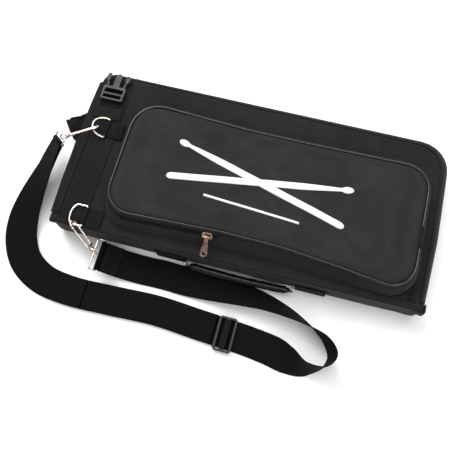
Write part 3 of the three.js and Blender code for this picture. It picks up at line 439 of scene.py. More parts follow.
def thread(name, colour, pitch):
    """Thread in close satin stitches, with a faint silky highlight and painted shade in the dips between
    stitches.
    """
    look = Look(name, colour, 0.5, sheen=0.05)
    place = look.place()
    height = look.plus(look.bands(place, "DIAGONAL", pitch), look.speckle(place, 1200, 2), 0.4)
    # The colour follows the stitch relief: painted shade darkens the dips between stitches.
    look.tone(height, scaled(colour, 0.62), colour, 0.1, 0.8)
    look.bump(height, 0.18)
    return look.material


BODY_CLOTH = woven("body_cloth", (0.006, 0.0055, 0.0055), (0.019, 0.0172, 0.017), 0.9, 0.05)
PANEL_CLOTH = woven("panel_cloth", (0.0095, 0.0095, 0.0108), (0.028, 0.028, 0.032), 0.9, 0.06)
BAND_CLOTH = woven("band_cloth", (0.0045, 0.0043, 0.0045), (0.0135, 0.0128, 0.013), 0.8, 0.04)
LINING_CLOTH = woven("lining_cloth", (0.013, 0.013, 0.016), (0.032, 0.032, 0.036), 0.5, 0.3, 0.7, 0.1)
TAPE_CLOTH = woven("tape_cloth", (0.004, 0.004, 0.0042), (0.012, 0.0115, 0.012), 1.3, 0.08, 0.8, 0.4)
STRAP_WEBBING = ribbed("strap_webbing", (0.0012, 0.0011, 0.0011), (0.0085, 0.0077, 0.0078), 2.5)
SHORT_WEBBING = ribbed("short_webbing", (0.004, 0.004, 0.0042), (0.016, 0.0152, 0.0155), 1.7, "Object", "Y")
GRIP_CLOTH = vinyl("grip_vinyl", (0.004, 0.0042, 0.005))
PIPING_VINYL = vinyl("piping_vinyl", (0.0032, 0.0037, 0.0048))
COIL_NYLON = moulded("coil_nylon", (0.012, 0.012, 0.013))
BUCKLE_PLASTIC = moulded("buckle_plastic", (0.010, 0.010, 0.0115))
NICKEL = metal("nickel", (0.86, 0.80, 0.74), (0.72, 0.62, 0.54))
SLIDER_METAL = metal("slider_metal", (0.50, 0.37, 0.31), (0.27, 0.15, 0.11), 0.22)
WHITE_THREAD = thread("white_thread", (0.78, 0.78, 0.78), 0.8)
BLACK_THREAD = thread("black_thread", (0.010, 0.010, 0.011), 0.4)


# ---- outlines -----------------------------------------------------------------------------
def outline(corners, steps=10):
    """Round-cornered closed outline through the corners, as (x, y) points in millimetres."""
    points = []
    count = len(corners)
    for i, (x, y, r) in enumerate(corners):
        here = Vector((x, y))
        if r == 0:
            points.append(here)
            continue
        behind = (Vector(corners[i - 1][:2]) - here).normalized()
        ahead = (Vector(corners[(i + 1) % count][:2]) - here).normalized()
        half = behind.angle(ahead) / 2
        centre = here + (behind + ahead).normalized() * (r / math.sin(half))
        reach = r / math.tan(half)
        start = here + behind * reach - centre
        end = here + ahead * reach - centre
        first = math.atan2(start.y, start.x)
        sweep = (math.atan2(end.y, end.x) - first) % (2 * math.pi)
        for k in range(steps + 1):
            angle = first + sweep * k / steps
            points.append(centre + Vector((math.cos(angle), math.sin(angle))) * r)
    return points


def evenly(points, spacing, closed=True):
    """The same line with points at an even spacing."""
    line = points + [points[0]] if closed else points
    lengths = [(b - a).length for a, b in zip(line, line[1:])]
    total = sum(lengths)
    count = max(3, round(total / spacing))
    out = []
    k = 0
    gone = 0.0
    for i in range(count if closed else count + 1):
        want = total * i / count
        while k < len(lengths) - 1 and gone + lengths[k] < want:
            gone += lengths[k]
            k += 1
        out.append(line[k].lerp(line[k + 1], min(1.0, (want - gone) / lengths[k])))
    return out


def relaxed(points, rounds, closed=True):
    """Eases the small kinks where straight runs meet."""
    for _ in range(rounds):
        count = len(points)
        moved = []
        for i, p in enumerate(points):
            if not closed and i in (0, count - 1):
                moved.append(p)
            else:
                moved.append((points[i - 1] + p * 2 + points[(i + 1) % count]) / 4)
        points = moved
    return points


def inset(points, distance):
    count = len(points)
    out = []
    for i, p in enumerate(points):
        along = points[(i + 1) % count] - points[i - 1]
        normal = Vector((along.y, -along.x)).normalized()
        out.append(p - normal * distance)
    return out


def matched(first, second, spacing):
    """Two outlines of equal corner counts, sampled at matching points."""
    a = outline(first)
    b = outline(second)
    count = len(a)
    fine_a = []
    fine_b = []
    for i in range(count):
        j = (i + 1) % count
        steps = max(1, round((a[j] - a[i]).length / spacing))
        for k in range(steps):
            fine_a.append(a[i].lerp(a[j], k / steps))
            fine_b.append(b[i].lerp(b[j], k / steps))
    return relaxed(fine_a, 6), relaxed(fine_b, 6)


POCKET_LOW, POCKET_HIGH = matched(POCKET_BASE, POCKET_RIM, 3.0)


def pocket_side(i, share, depth=0.0):
    """A point on the pocket's sloping side, in millimetres."""
    low = POCKET_LOW[i]
    high = POCKET_HIGH[i]
    count = len(POCKET_LOW)
    along = POCKET_HIGH[(i + 1) % count] - POCKET_HIGH[i - 1]
    normal = Vector((along.y, -along.x)).normalized()
    flat = low.lerp(high, share) - normal * depth
    return Vector((flat.x, flat.y, mix(SURFACE, RIM_Z, share)))


def on_lid(i):
    return POCKET_HIGH[i].x < LID_X


ALL_AROUND = list(range(len(POCKET_LOW)))
LID_RUN = [i for i in ALL_AROUND if on_lid(i)]
SPLIT_AT = next(k for k in range(1, len(LID_RUN)) if LID_RUN[k] != LID_RUN[k - 1] + 1)
LID_RUN = LID_RUN[SPLIT_AT:] + LID_RUN[:SPLIT_AT]
FIXED_RUN = [i for i in ALL_AROUND if not on_lid(i)]


# ---- surfaces -----------------------------------------------------------------------------
def cloth(name, rows, cols, points_at, material, body=None, nodes=(), closed=False,
          capped=False):
    """A piece with two faces and closed edges, on a grid of rows by cols points.

    points_at(i, j) gives its outer and its inner point there, in millimetres. Closed joins the last
    row to the first; capped fills the hole inside the last column."""
    pairs = [points_at(i, j) for i in range(rows) for j in range(cols)]
    faces = []
    last = cols - 1
    end = rows - 1

    def add(*corners):
        faces.append([(side * rows + i % rows) * cols + j for side, i, j in corners])

    for i in range(rows if closed else end):
        for j in range(last):
            add((0, i, j), (0, i + 1, j), (0, i + 1, j + 1), (0, i, j + 1))
            add((1, i, j), (1, i, j + 1), (1, i + 1, j + 1), (1, i + 1, j))
        add((0, i, 0), (1, i, 0), (1, i + 1, 0), (0, i + 1, 0))
        if not capped:
            add((0, i, last), (0, i + 1, last), (1, i + 1, last), (1, i, last))
    if capped:
        add(*((0, i, last) for i in range(rows)))
        add(*((1, i, last) for i in reversed(range(rows))))
    if not closed:
        for j in range(last):
            add((0, 0, j), (0, 0, j + 1), (1, 0, j + 1), (1, 0, j))
            add((0, end, j), (1, end, j), (1, end, j + 1), (0, end, j + 1))
    vertices = [pair[side] for side in (0, 1) for pair in pairs]
    return new_object(name, mesh_from(name, vertices, faces), material, body, nodes)


def ring_faces(rings, sides, closed=False, base=0):
    """Faces round a run of equal rings of points, with both ends filled unless it is closed."""
    faces = []
    for i in range(rings if closed else rings - 1):
        here = base + i * sides
        ahead = base + (i + 1) % rings * sides
        for k in range(sides):
            turn = (k + 1) % sides
            faces.append((here + k, here + turn, ahead + turn, ahead + k))
    if not closed:
        for first in (base, base + (rings - 1) * sides):
            faces.append(tuple(range(first, first + sides)))
    return faces


def ellipse(centre, first, a, second, b, sides, turn=0.0):
    """Points round a centre, a along the first direction and b along the second."""
    angles = [2 * math.pi * (k + turn) / sides for k in range(sides)]
    return [centre + first * (a * math.cos(t)) + second * (b * math.sin(t)) for t in angles]


def sideways(along):
    """The level direction to the right of a line's direction."""
    return Vector((along.y, -along.x, 0)).normalized()


def tube(name, points, radius, material, body=None, nodes=(), closed=False, sides=8,
         flatten=1.0):
    """A round tube along millimetre points; its radius may be a function of the share gone."""
    count = len(points)
    vertices = []
    side = UP
    for i, p in enumerate(points):
        before = points[i - 1] if closed or i else points[0]
        after = points[(i + 1) % count] if closed or i < count - 1 else points[-1]
        along = (after - before).normalized()
        side = (side - along * side.dot(along)).normalized()
        r = radius(i / (count - 1)) if callable(radius) else radius
        vertices += ellipse(p, side, r * flatten, along.cross(side), r, sides)
    mesh = mesh_from(name, vertices, ring_faces(count, sides, closed))
    return new_object(name, mesh, material, body, nodes)


# Rings of one stitch: share of its length from the middle, share of its width, and lift.
STITCH = [(-0.5, 0.3, -0.1), (-0.3, 0.9, 0.12), (0.3, 0.9, 0.12), (0.5, 0.3, -0.1)]
STITCH_WIDTH = 0.55
# Rings of one zip tooth: share of its length from the middle, and share of its thickness.
TOOTH = [(-0.5, 0.45), (-0.32, 1.0), (0.32, 1.0), (0.5, 0.45)]
TOOTH_THICK = 0.36                # half of it, as a share of the pitch
BAR_SIDES = 6                     # of a stitch or a tooth


def stitches(name, points, up, body, pitch=3.4, length=2.3):
    """A row of thread stitches lying on a surface along millimetre points."""
    line = evenly(points, pitch, closed=False)
    vertices = []
    faces = []
    for a, b in zip(line, line[1:]):
        along = (b - a).normalized()
        across = along.cross(up).normalized()
        faces += ring_faces(len(STITCH), BAR_SIDES, base=len(vertices))
        for share, thick, lift in STITCH:
            centre = (a + b) / 2 + along * (share * length) + up * lift
            half = STITCH_WIDTH / 2 * thick
            vertices += ellipse(centre, across, half, up, half, BAR_SIDES)
    return new_object(name, mesh_from(name, vertices, faces), BLACK_THREAD, body)


def teeth(name, points, body, node, pitch=1.7, rise=1.3, wide=2.6, on_wall=False):
    """A coil of zip teeth: one small rounded bar for each turn, level or upright on a wall."""
    line = evenly(points, pitch, closed=False)
    vertices = []
    faces = []
    for before, here, after in zip(line, line[1:], line[2:]):
        along = (after - before).normalized()
        out, lift = (UP, sideways(along)) if on_wall else (sideways(along), UP)
        faces += ring_faces(len(TOOTH), BAR_SIDES, base=len(vertices))
        for share, scale in TOOTH:
            vertices += ellipse(here + out * (share * wide), along, pitch * TOOTH_THICK * scale,
                                lift, rise / 2 * scale, BAR_SIDES, turn=0.5)
    return new_object(name, mesh_from(name, vertices, faces), COIL_NYLON, body, [node])


# ---- shoulder strap -----------------------------------------------------------------------
def route_point(t):
    """Centripetal Catmull-Rom through the strap's points, and the roll there."""
    count = len(STRAP) - 1
    k = min(int(t * count), count - 1)
    w = t * count - k
    points = [Vector(p[:3]) for p in STRAP]
    p1 = points[k]
    p2 = points[k + 1]
    p0 = points[k - 1] if k else p1 * 2 - p2
    p3 = points[k + 2] if k + 2 <= count else p2 * 2 - p1
    d0 = (p1 - p0).length ** 0.5
    d1 = (p2 - p1).length ** 0.5
    d2 = (p3 - p2).length ** 0.5
    t1 = ((p1 - p0) / d0 - (p2 - p0) / (d0 + d1) + (p2 - p1) / d1) * d1
    t2 = ((p2 - p1) / d1 - (p3 - p1) / (d1 + d2) + (p3 - p2) / d2) * d1
    place = (p1 * (2 * w ** 3 - 3 * w ** 2 + 1) + t1 * (w ** 3 - 2 * w ** 2 + w)
             + p2 * (3 * w ** 2 - 2 * w ** 3) + t2 * (w ** 3 - w ** 2))
    roll = mix(STRAP[k][3], STRAP[k + 1][3], w)
    return place, roll


def strap_frame(t):
    """Centre, direction, width direction and face normal of the strap at a share of its route."""
    step = 0.0008
    near = (-0.012, -0.006, 0, 0.006, 0.012)
    place = route_point(t)[0]
    smooth_roll = sum(route_point(min(1, max(0, t + d)))[1] for d in near) / len(near)
    along = (route_point(min(1, t + step))[0] - route_point(max(0, t - step))[0]).normalized()
    level = along.cross(UP).normalized()
    rise = level.cross(along).normalized()
    angle = math.radians(smooth_roll)
    across = level * math.cos(angle) + rise * math.sin(angle)
    return place, along, across, across.cross(along).normalized()


def lean(t):
    """How far the upper layer of webbing lies to one side of the lower one."""
    return 7 * smoothstep(t, SLIDES_TO, 0.86) * (1 - smoothstep(t, 0.93, 1))


# Section of the webbing: shares of its half width and of its half thickness.
PROFILE = [(-1.0, 0.0), (-0.985, 0.75), (-0.9, 1.0), (-0.5, 0.96), (0.0, 1.0), (0.5, 0.96), (0.9, 1.0),
           (0.985, 0.75), (1.0, 0.0), (0.985, -0.75), (0.9, -1.0), (0.5, -0.96), (0.0, -1.0),
           (-0.5, -0.96), (-0.9, -1.0), (-0.985, -0.75)]


def ribbon(name, start, end, lift=0.0, slide=None, seed=0.0):
    """Webbing along the strap's route, with rounded edges and a length-wise UV in metres."""
    steps = max(6, round((end - start) * ROUTE_STEPS))
    ring = len(PROFILE)
    vertices = []
    marks = []
    gone = 0.0
    before = None
    for i in range(steps + 1):
        t = mix(start, end, i / steps)
        place, _, across, normal = strap_frame(t)
        place = place + normal * lift + across * (slide(t) if slide else 0.0)
        if before is not None:
            gone += (place - before).length
        before = place
        marks.append(gone)
        sway = 0.35 * noise.noise(Vector((gone / 45, seed, 0)))
        for side, up in PROFILE:
            vertices.append(place + across * (side * WEBBING / 2)
                            + normal * (up * WEBBING_THICK / 2 + sway * side))
    mesh = bpy.data.meshes.new(name)
    mesh.from_pydata([v * MM for v in vertices], [], ring_faces(steps + 1, ring))
    layer = mesh.uv_layers.new(name="along")
    for loop in mesh.loops:
        row, corner = divmod(loop.vertex_index, ring)
        layer.data[loop.index].uv = (marks[row] * MM, PROFILE[corner][0] * WEBBING / 2 * MM)
    with editing(mesh) as bm:
        bmesh.ops.recalc_face_normals(bm, faces=bm.faces)
    return new_object(name, mesh, STRAP_WEBBING), gone * MM


def make_strap():
    """One length of webbing from loop to loop."""
    main, length = ribbon("strap_run", 0.0, 1.0)
    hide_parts("strap_main", "strap_lead")
    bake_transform(main)
    grip, _ = ribbon("strap_second_run", DOUBLE_FROM, SLIDES_TO, LAYER_LIFT, lean, 5.0)
    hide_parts("strap_doubled")
    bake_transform(grip)
    over, _ = ribbon("strap_second_layer", SLIDES_TO + 0.0006, 1.0, LAYER_LIFT, lean, 5.0)
    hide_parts("strap_doubled_lead")
    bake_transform(over)
    turned, _ = ribbon("strap_end_sewn", 0.001, 0.05, LAYER_LIFT)
    joined(turned, "back_half", ["strap_end_return"])
    folds = [bevelled(f"strap_fold_{end}", f"strap_loop_fold_{end}", STRAP_WEBBING, body)
             for end, body in (("upper", "front_half"), ("lower", "back_half"))]
    glide = cast("adjuster", "adjuster_moulded", BUCKLE_PLASTIC, "adjuster", 0.33)
    wrap = bevelled("adjuster_webbing", "adjuster_wrap", SHORT_WEBBING, "adjuster")
    sew_strap()


def sew_strap():
    """Box stitch on the sewn end beside the lower loop."""
    low, high = 0.008, 0.046
    lift = LAYER_LIFT + 0.85
    edge = 15.5
    middle_up = strap_frame((low + high) / 2)[3]
    for number, side in enumerate((-edge, edge)):
        line = []
        for k in range(7):
            place, _, across, normal = strap_frame(mix(low, high, k / 6))
            line.append(place + normal * lift + across * side)
        stitches(f"strap_end_stitch_{number}", line, middle_up, "back_half")
    for number, t in enumerate((low, high)):
        place, _, across, normal = strap_frame(t)
        line = [place + normal * lift + across * side for side in (-edge, 0, edge)]
        stitches(f"strap_end_stitch_end_{number}", line, normal, "back_half")


# ---- case body ----------------------------------------------------------------------------
def make_shells():
    back = softened("back_shell", "back_case", "back_half", 2.0, 7, 42, 0.9, 1)
    front = softened("front_shell", "front_case", "front_half", 1.6, 6, 40, 1.15, 2)


def front_level(z):
    """The front half's outline at a height, straight beside the zip and rolled in to the panel."""
    t = min(1.0, max(0.0, (z - ROLL_FROM) / (BAG_DEPTH - ROLL_FROM)))
    share = 1 - math.sqrt(1 - t * t * 0.999)
    return [a.lerp(b, share) for a, b in zip(outline(WIDEST, 6), outline(FRONT_PANEL, 6))]


def zip_run(points):
    """The stretch of an outline beside the main zip, from the spine round to the mouth."""
    line = evenly(points, 2.5)
    first = next(i for i, p in enumerate(line) if p.x > 225 and p.y > SPINE_EDGE)
    last = next(i for i in range(first, len(line)) if line[i].x < -226 and line[i].y > 90)
    return line[first:last + 1]


def make_zip_side():
    """Tape over the rolled edge, with welts, and two coils of teeth in the main zip."""
    levels = [38.2, 40.5, 43, 45.2, 47.2, 48.7]
    runs = [evenly(zip_run(front_level(z)), ZIP_STEP, closed=False) for z in levels]
    rows = min(len(line) for line in runs)

    def cover_at(i, j):
        line = runs[j]
        k = round(i * (len(line) - 1) / (rows - 1))
        before = line[max(0, k - 1)]
        after = line[min(len(line) - 1, k + 1)]
        out = Vector((after.y - before.y, before.x - after.x)).normalized()
        return (Vector((*(line[k] + out * 0.4), levels[j] + 0.5)),
                Vector((*(line[k] - out * 0.6), levels[j] - 0.4)))

    cloth("zip_cover_tape", rows, len(levels), cover_at, TAPE_CLOTH, "front_half")
    for name, column, lift in (("welt_upper", -1, 0.1), ("welt_lower", 0, 0.0)):
        tube(name, [cover_at(i, column)[0] + UP * lift for i in range(rows)], 0.7, BODY_CLOTH,
             "front_half")
    stitches("zip_cover_stitch", [cover_at(i, 3)[0] for i in range(rows)],
             Vector((0.2, 0.25, 0.95)).normalized(), "front_half", 3.0, 2.0)
    path = evenly(zip_run(front_level(ROLL_FROM)), ZIP_STEP, closed=False)
    for side, z in (("back", BACK_DEPTH - 0.75), ("front", BACK_DEPTH + ZIP_GAP + 0.75)):
        line = [Vector((*p, z)) for p in path]
        inwards = [q - sideways((b - a).normalized()) * 1.9 for q, a, b in
                   zip(line, [line[0], *line[:-1]], [*line[1:], line[-1]])]
        teeth(f"coil_{side}", inwards, f"{side}_half", f"zip_coil_{side}")
    for side in ("back", "front"):
        bevelled(f"zip_tape_{side}", f"tape_{side}", TAPE_CLOTH, f"{side}_half", 0.25)


def make_spine():
    """The cloth that joins the two halves along the spine, open where the lower ring's notch is."""
    profile = [(-114.5, 42), (-114.7, 46), (-114.5, 48.8), (-113.6, 50.2), (-111.8, 50.8), (-109.5, 50.8),
               (-107.2, 50.7), (-105.2, 50.3)]
    for number, (x0, x1) in enumerate(((-239.5, -214.5), (-193, 240))):
        steps = round((x1 - x0) / 4)

        def fold_at(i, j):
            x = mix(x0, x1, i / steps)
            y, z = profile[j]
            sway = 0.35 * noise.noise(Vector((x / 24, number, 4.4)))
            drop = 2.4 * smoothstep(x, 224, 240) + 1.6 * (1 - smoothstep(x, -240, -234))
            return (Vector((x, y - 0.2 * sway, z - drop + sway * (z > BAG_DEPTH))),
                    Vector((x, y + 0.9 * (z < BAG_DEPTH), z - drop - 0.9 * (z > BAG_DEPTH) - 0.4)))

        fold = cloth(f"spine_cloth_{number}", steps + 1, len(profile), fold_at, BODY_CLOTH)
        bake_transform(fold)


def make_end_band():
    """A binding band across the bottom end of the front, and the folded tab at its near corner."""
    line = evenly(outline(FRONT_PANEL), 3)
    first = next(i for i, p in enumerate(line) if p.x > 215 and p.y > SPINE_EDGE)
    last = next(i for i in range(first, len(line)) if line[i].y > 58)
    profile = [(0.6, 49.9), (2.2, 51.0), (6.0, 51.2), (10.0, 51.0)]
    rows = [inset(line, depth)[first:last] for depth, _ in profile]

    def band_at(i, j):
        z = profile[j][1]
        return Vector((*rows[j][i], z)), Vector((*rows[j][i], z - 1.2))

    count = last - first
    cloth("end_band", count, len(profile), band_at, BAND_CLOTH, "front_half")
    for number, column in enumerate((1, 3)):
        shift = Vector((-0.9 + 0.6 * number, 0, 0.2))
        stitches(f"end_band_stitch_{number}", [band_at(i, column)[0] + shift for i in range(count)], UP,
                 "front_half", 2.6, 1.6)
    fold = [(229, -114.7), (235, -115.2), (239.8, -116.2), (242.4, -115.4), (243.3, -112.6),
            (243.2, -108.5), (242.8, -104.5)]

    def tab_at(k, j):
        x, y = fold[k]
        z = mix(34, 48.5, j / 6)
        droop = 0.5 * math.sin(j * 1.1 + k)
        return Vector((x + droop * 0.4, y - droop * 0.3, z)), Vector((x - 0.7, y + 0.8, z))

    cloth("corner_tab", len(fold), 7, tab_at, BAND_CLOTH, "back_half")


def lining(name, corners, depth, z, body, node):
    """A lining panel: a flat outline filled with rings, softly uneven."""
    edge = relaxed(evenly(inset(outline(corners, 6), depth), 6), 2)
    edge = [Vector((max(p.x, LINING_MOUTH), p.y)) for p in edge]
    rings = 12
    half = 0.6

    def panel_at(i, k):
        middle = Vector((min(130, max(-120, edge[i].x)), -2))
        q = edge[i].lerp(middle, 0.95 * k / rings)
        lift = 0.25 * noise.noise(Vector((q.x / 30, q.y / 30, z)))
        return Vector((*q, z + half + lift)), Vector((*q, z - half + lift))

    cloth(name, len(edge), rings + 1, panel_at, LINING_CLOTH, body, [node], True, True)


def stick_sleeves(name, floor, way, y0, y1, count, rise, x0, x1, node, body):
    """Pleated sleeves: one stitched sheet in soft arches."""
    steps_round, steps_along = 14, 24
    thick = 0.9

    def sleeve_at(i, k):
        x = mix(x0, x1, k / steps_along)
        y = mix(y0, y1, i / (count * steps_round))
        arch = math.sin(math.pi * (i % steps_round) / steps_round) ** 0.7
        sag = rise * arch * (1 - 0.12 * math.sin(math.pi * k / steps_along))
        sag += 0.4 * arch * noise.noise(Vector((x / 25, y / 12, floor)))
        return Vector((x, y, floor + way * (sag + thick))), Vector((x, y, floor + way * sag))

    cloth(name, count * steps_round + 1, steps_along + 1, sleeve_at, LINING_CLOTH, body, [node])
    for k in range(count + 1):
        line = [Vector((x, mix(y0, y1, k / count), floor + way)) for x in (x0 + 2, x1 - 2)]
        stitches(f"{name}_seam_{k}", line, UP * way, body, 4.0, 2.8)


def make_inside():
    lining("back_lining_panel", WIDEST, 8, 4.4, "back_half", "back_lining")
    lining("front_lining_panel", FRONT_PANEL, 7.5, 45.6, "front_half", "front_lining")
    stick_sleeves("back_sleeve_sheet", 5.3, 1, -98, 50, 4, 10, -135, 222, "back_sleeves", "back_half")
    stick_sleeves("front_sleeve_sheet", 44.7, -1, -94, 54, 3, 8, -120, 210, "front_sleeves", "front_half")


def make_mouth():
    """Stitched band, edge binding and buckle patch at the mouth."""
    for node, name, width in (("mouth_band", "mouth_edge_band", 0.3),
                              ("mouth_binding", "mouth_edge_tape", 0.25),
                              ("buckle_patch", "buckle_sewn_patch", 0.45)):
        bevelled(node, name, BAND_CLOTH, "front_half", width)
    left, right, near, far, patch_z = -232, -199, 41.5, 55, 53.2
    rows = {
        "band_stitch_inner": [(-196.5, -104, 51.35), (-196.5, 94, 51.35)],
        "band_stitch_outer": [(-226, -104, 51.35), (-226, 94, 51.35)],
        "binding_stitch": [(left, -102, 51.4), (left, 90, 51.4)],
        "patch_stitch_near": [(left, near, patch_z), (right, near, patch_z)],
        "patch_stitch_left": [(left, near, patch_z), (left, far, patch_z)],
        "patch_stitch_right": [(right, near, patch_z), (right, far, patch_z)],
        "patch_stitch_far": [(left, far, patch_z), (right, far, patch_z)],
    }
    for name, ends in rows.items():
        stitches(name, [Vector(p) for p in ends], UP, "front_half", 3.0, 2.0)


# ---- front pocket -------------------------------------------------------------------------
WALL_UP = Vector((0, -0.8, 0.6))   # out of the pocket's near side


def face_height(x, y):
    """Top of the pocket's face: softly crowned, with one long crease and small unevenness."""
    # Shares of the way from the middle of the face to its edges.
    u = (x - 22) / 200
    v = (y + 14) / 84
    crown = max(0.0, 1 - u ** 4) * max(0.0, 1 - v ** 4)
    # Distance along the crease and to one side of it.
    dx, dy = x - 70, y + 40
    along = dx * 0.93 - dy * 0.36
    aside = dx * 0.36 + dy * 0.93
    crease = 1.1 * math.exp(-(aside / 9) ** 2) * math.exp(-(along / 75) ** 4)
    ridge = 0.9 * math.exp(-((aside - 13) / 10) ** 2) * math.exp(-(along / 70) ** 4)
    broad = 0.9 * noise.noise(Vector((x / 42, y / 42, 3.3))) * crown
    narrow = 0.45 * noise.noise(Vector((x / 60 + y / 40, (y - 0.3 * x) / 9, 8.1))) * crown
    return POCKET_TOP - 1.5 + 2.6 * crown ** 0.7 - crease + ridge + broad + narrow


def make_pocket_face():
    edge = inset(POCKET_HIGH, PIPING_R * 2 - 0.4)
    rings, thick = 26, 1.4

    def face_at(i, k):
        middle = Vector((min(140, max(-92, edge[i].x)), -12))
        q = edge[i].lerp(middle, 0.95 * (k / rings) ** 0.9)
        z = face_height(q.x, q.y) - (0.9 if k == 0 else 0.0)
        return Vector((*q, z)), Vector((*q, z - thick))

    face = cloth("pocket_cloth_face", len(edge), rings + 1, face_at, PANEL_CLOTH, None,
                 ["pocket_face", "lid_face"], closed=True, capped=True)
    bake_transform(face)


def make_piping():
    line = [Vector((*p, POCKET_TOP - PIPING_R + 0.6)) for p in inset(POCKET_HIGH, PIPING_R)]
    piping = tube("vinyl_piping", line, PIPING_R, PIPING_VINYL, None, ["pocket_piping", "lid_piping"],
                  closed=True, sides=14)
    under = [Vector((*p, RIM_Z - 0.3)) for p in inset(POCKET_HIGH, -0.4)]
    welt = tube("piping_welt", under, 0.9, BODY_CLOTH, closed=True)
    for piece in (piping, welt):
        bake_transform(piece)
    sleeve = [p for p in line if p.x > 200 and -46 < p.y < -14]
    tube("piping_join", sleeve, lambda t: PIPING_R + 0.35 + 0.2 * math.sin(9 * t), BAND_CLOTH,
         "front_half", sides=14)


def side_wall(name, run, low, high, node, body, bulge):
    """A stretch of the pocket's side: a soft strip between two shares of its height."""
    levels = max(3, round((high - low) * 14))
    skin = 1.3

    def wall_at(row, k):
        i = run[row]
        share = mix(low, high, k / levels)
        uneven = noise.noise(Vector((POCKET_LOW[i].x / 28, POCKET_LOW[i].y / 28, share * 2)))
        swell = bulge * math.sin(math.pi * share) + 0.5 * uneven
        edge = 0.35 if k in (0, levels) else 0.0
        return pocket_side(i, share, edge - swell), pocket_side(i, share, skin - swell - edge * 0.3)

    cloth(name, len(run), levels + 1, wall_at, BODY_CLOTH, body, [node])


def make_pocket_sides():
    """The pocket's side walls, its coils and seams; each wall on the lid's stretch stops by the zip."""
    fixed = [FIXED_RUN[0] - 1, *FIXED_RUN, FIXED_RUN[-1] + 1]
    side_wall("pocket_side", fixed, 0.0, 0.95, "pocket_gusset", "front_half", 1.0)
    side_wall("pocket_side_lower", LID_RUN, 0.0, POCKET_ZIP - 0.12, "pocket_gusset_lower", "front_half", 0.6)
    side_wall("pocket_side_lid", LID_RUN, POCKET_ZIP + 0.12, 0.95, "lid_gusset", "pocket_lid", 0.6)
    for name, share, node, body in (("pocket_coil_a", POCKET_ZIP - 0.06, "pocket_coil_lower", "front_half"),
                                    ("pocket_coil_b", POCKET_ZIP + 0.06, "lid_coil", "pocket_lid")):
        line = [pocket_side(i, share, 0.4) for i in LID_RUN]
        teeth(name, line, body, node, 1.6, 1.6, 2.0, on_wall=True)
    line = [wall_line(i, POCKET_ZIP - 0.2, 0.1) for i in LID_RUN]
    stitches("pocket_tape_a", line, WALL_UP, "front_half", 3.0, 2.0)
    base = [pocket_side(i, 0.0, -1.6) for i in ALL_AROUND]
    tube("pocket_foot_welt", base, 1.1, BODY_CLOTH, "front_half", closed=True)
    make_zip_end()


def wall_line(i, share, lift):
    """A point just above the cloth of the pocket's side, for a seam."""
    return pocket_side(i, share, -0.6 * math.sin(math.pi * share) - lift)


def make_zip_end():
    """The bar tack where the pocket zip ends on the near side, beside the bend."""
    rows = [i for i in ALL_AROUND if POCKET_LOW[i].y < -60 and -26 < POCKET_LOW[i].x < -19]
    spot = rows[len(rows) // 2]
    for number, x in enumerate((-1.2, 1.2)):
        line = [wall_line(spot, share, 0.35) + Vector((x, 0, 0)) for share in (0.2, 0.4, 0.6, 0.8, 0.93)]
        stitches(f"zip_end_tack_{number}", line, WALL_UP, "front_half", 2.2, 1.7)


def emblem_strip(name, middle, angle, widths, lift):
    """A raised strip of satin stitch lying on the pocket's face."""
    direction = Vector((math.cos(angle), math.sin(angle)))
    across = Vector((-direction.y, direction.x))

    def strip_at(k, j):
        along, half = widths[k]
        side = -1 + j / 4
        q = middle + direction * along + across * (half * side)
        z = face_height(q.x, q.y)
        return Vector((*q, z + lift * (0.55 + 0.45 * (1 - side * side)))), Vector((*q, z - 0.5))

    piece = cloth(name, len(widths), 9, strip_at, WHITE_THREAD)
    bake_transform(piece)


def stick_outline():
    """Half-widths of a drum stick along its length: butt, shaft, taper, neck and oval tip."""
    shaft, neck, tip, least = 4.4, 2.2, 4.3, 0.3
    butt_at, taper_at, neck_at, tip_at = -112, 55, 104, 110.5

    def bulb(distance, reach, half):
        return half * math.sqrt(max(0.0, 1 - (distance / reach) ** 2))

    rows = []
    for k in range(111):
        along = -118.2 * math.cos(math.pi * k / 110)
        if along < butt_at:
            half = bulb(along - butt_at, 6.3, shaft)
        elif along < taper_at:
            half = shaft
        elif along < neck_at:
            half = mix(shaft, neck, ((along - taper_at) / (neck_at - taper_at)) ** 1.2)
        else:
            half = max(neck if along < neck_at + 2 else 0.0, bulb(along - tip_at, 7.8, tip))
        rows.append((along, max(half, least)))
    return rows


def make_emblem():
    """Plain crossed sticks in white embroidery, with a thin line of stitches below."""
    tilt = math.radians(-3.5)
    sticks = stick_outline()
    for name, angle, lift in (("emblem_stick_a", 0.215, 0.8), ("emblem_stick_b", math.pi - 0.215, 1.3)):
        emblem_strip(name, Vector((12, -10)), angle + tilt, sticks, lift)
    bar = [(mix(-62, 62, k / 30), 1.5) for k in range(31)]
    emblem_strip("emblem_line", Vector((10, -46)), tilt, bar, 0.8)


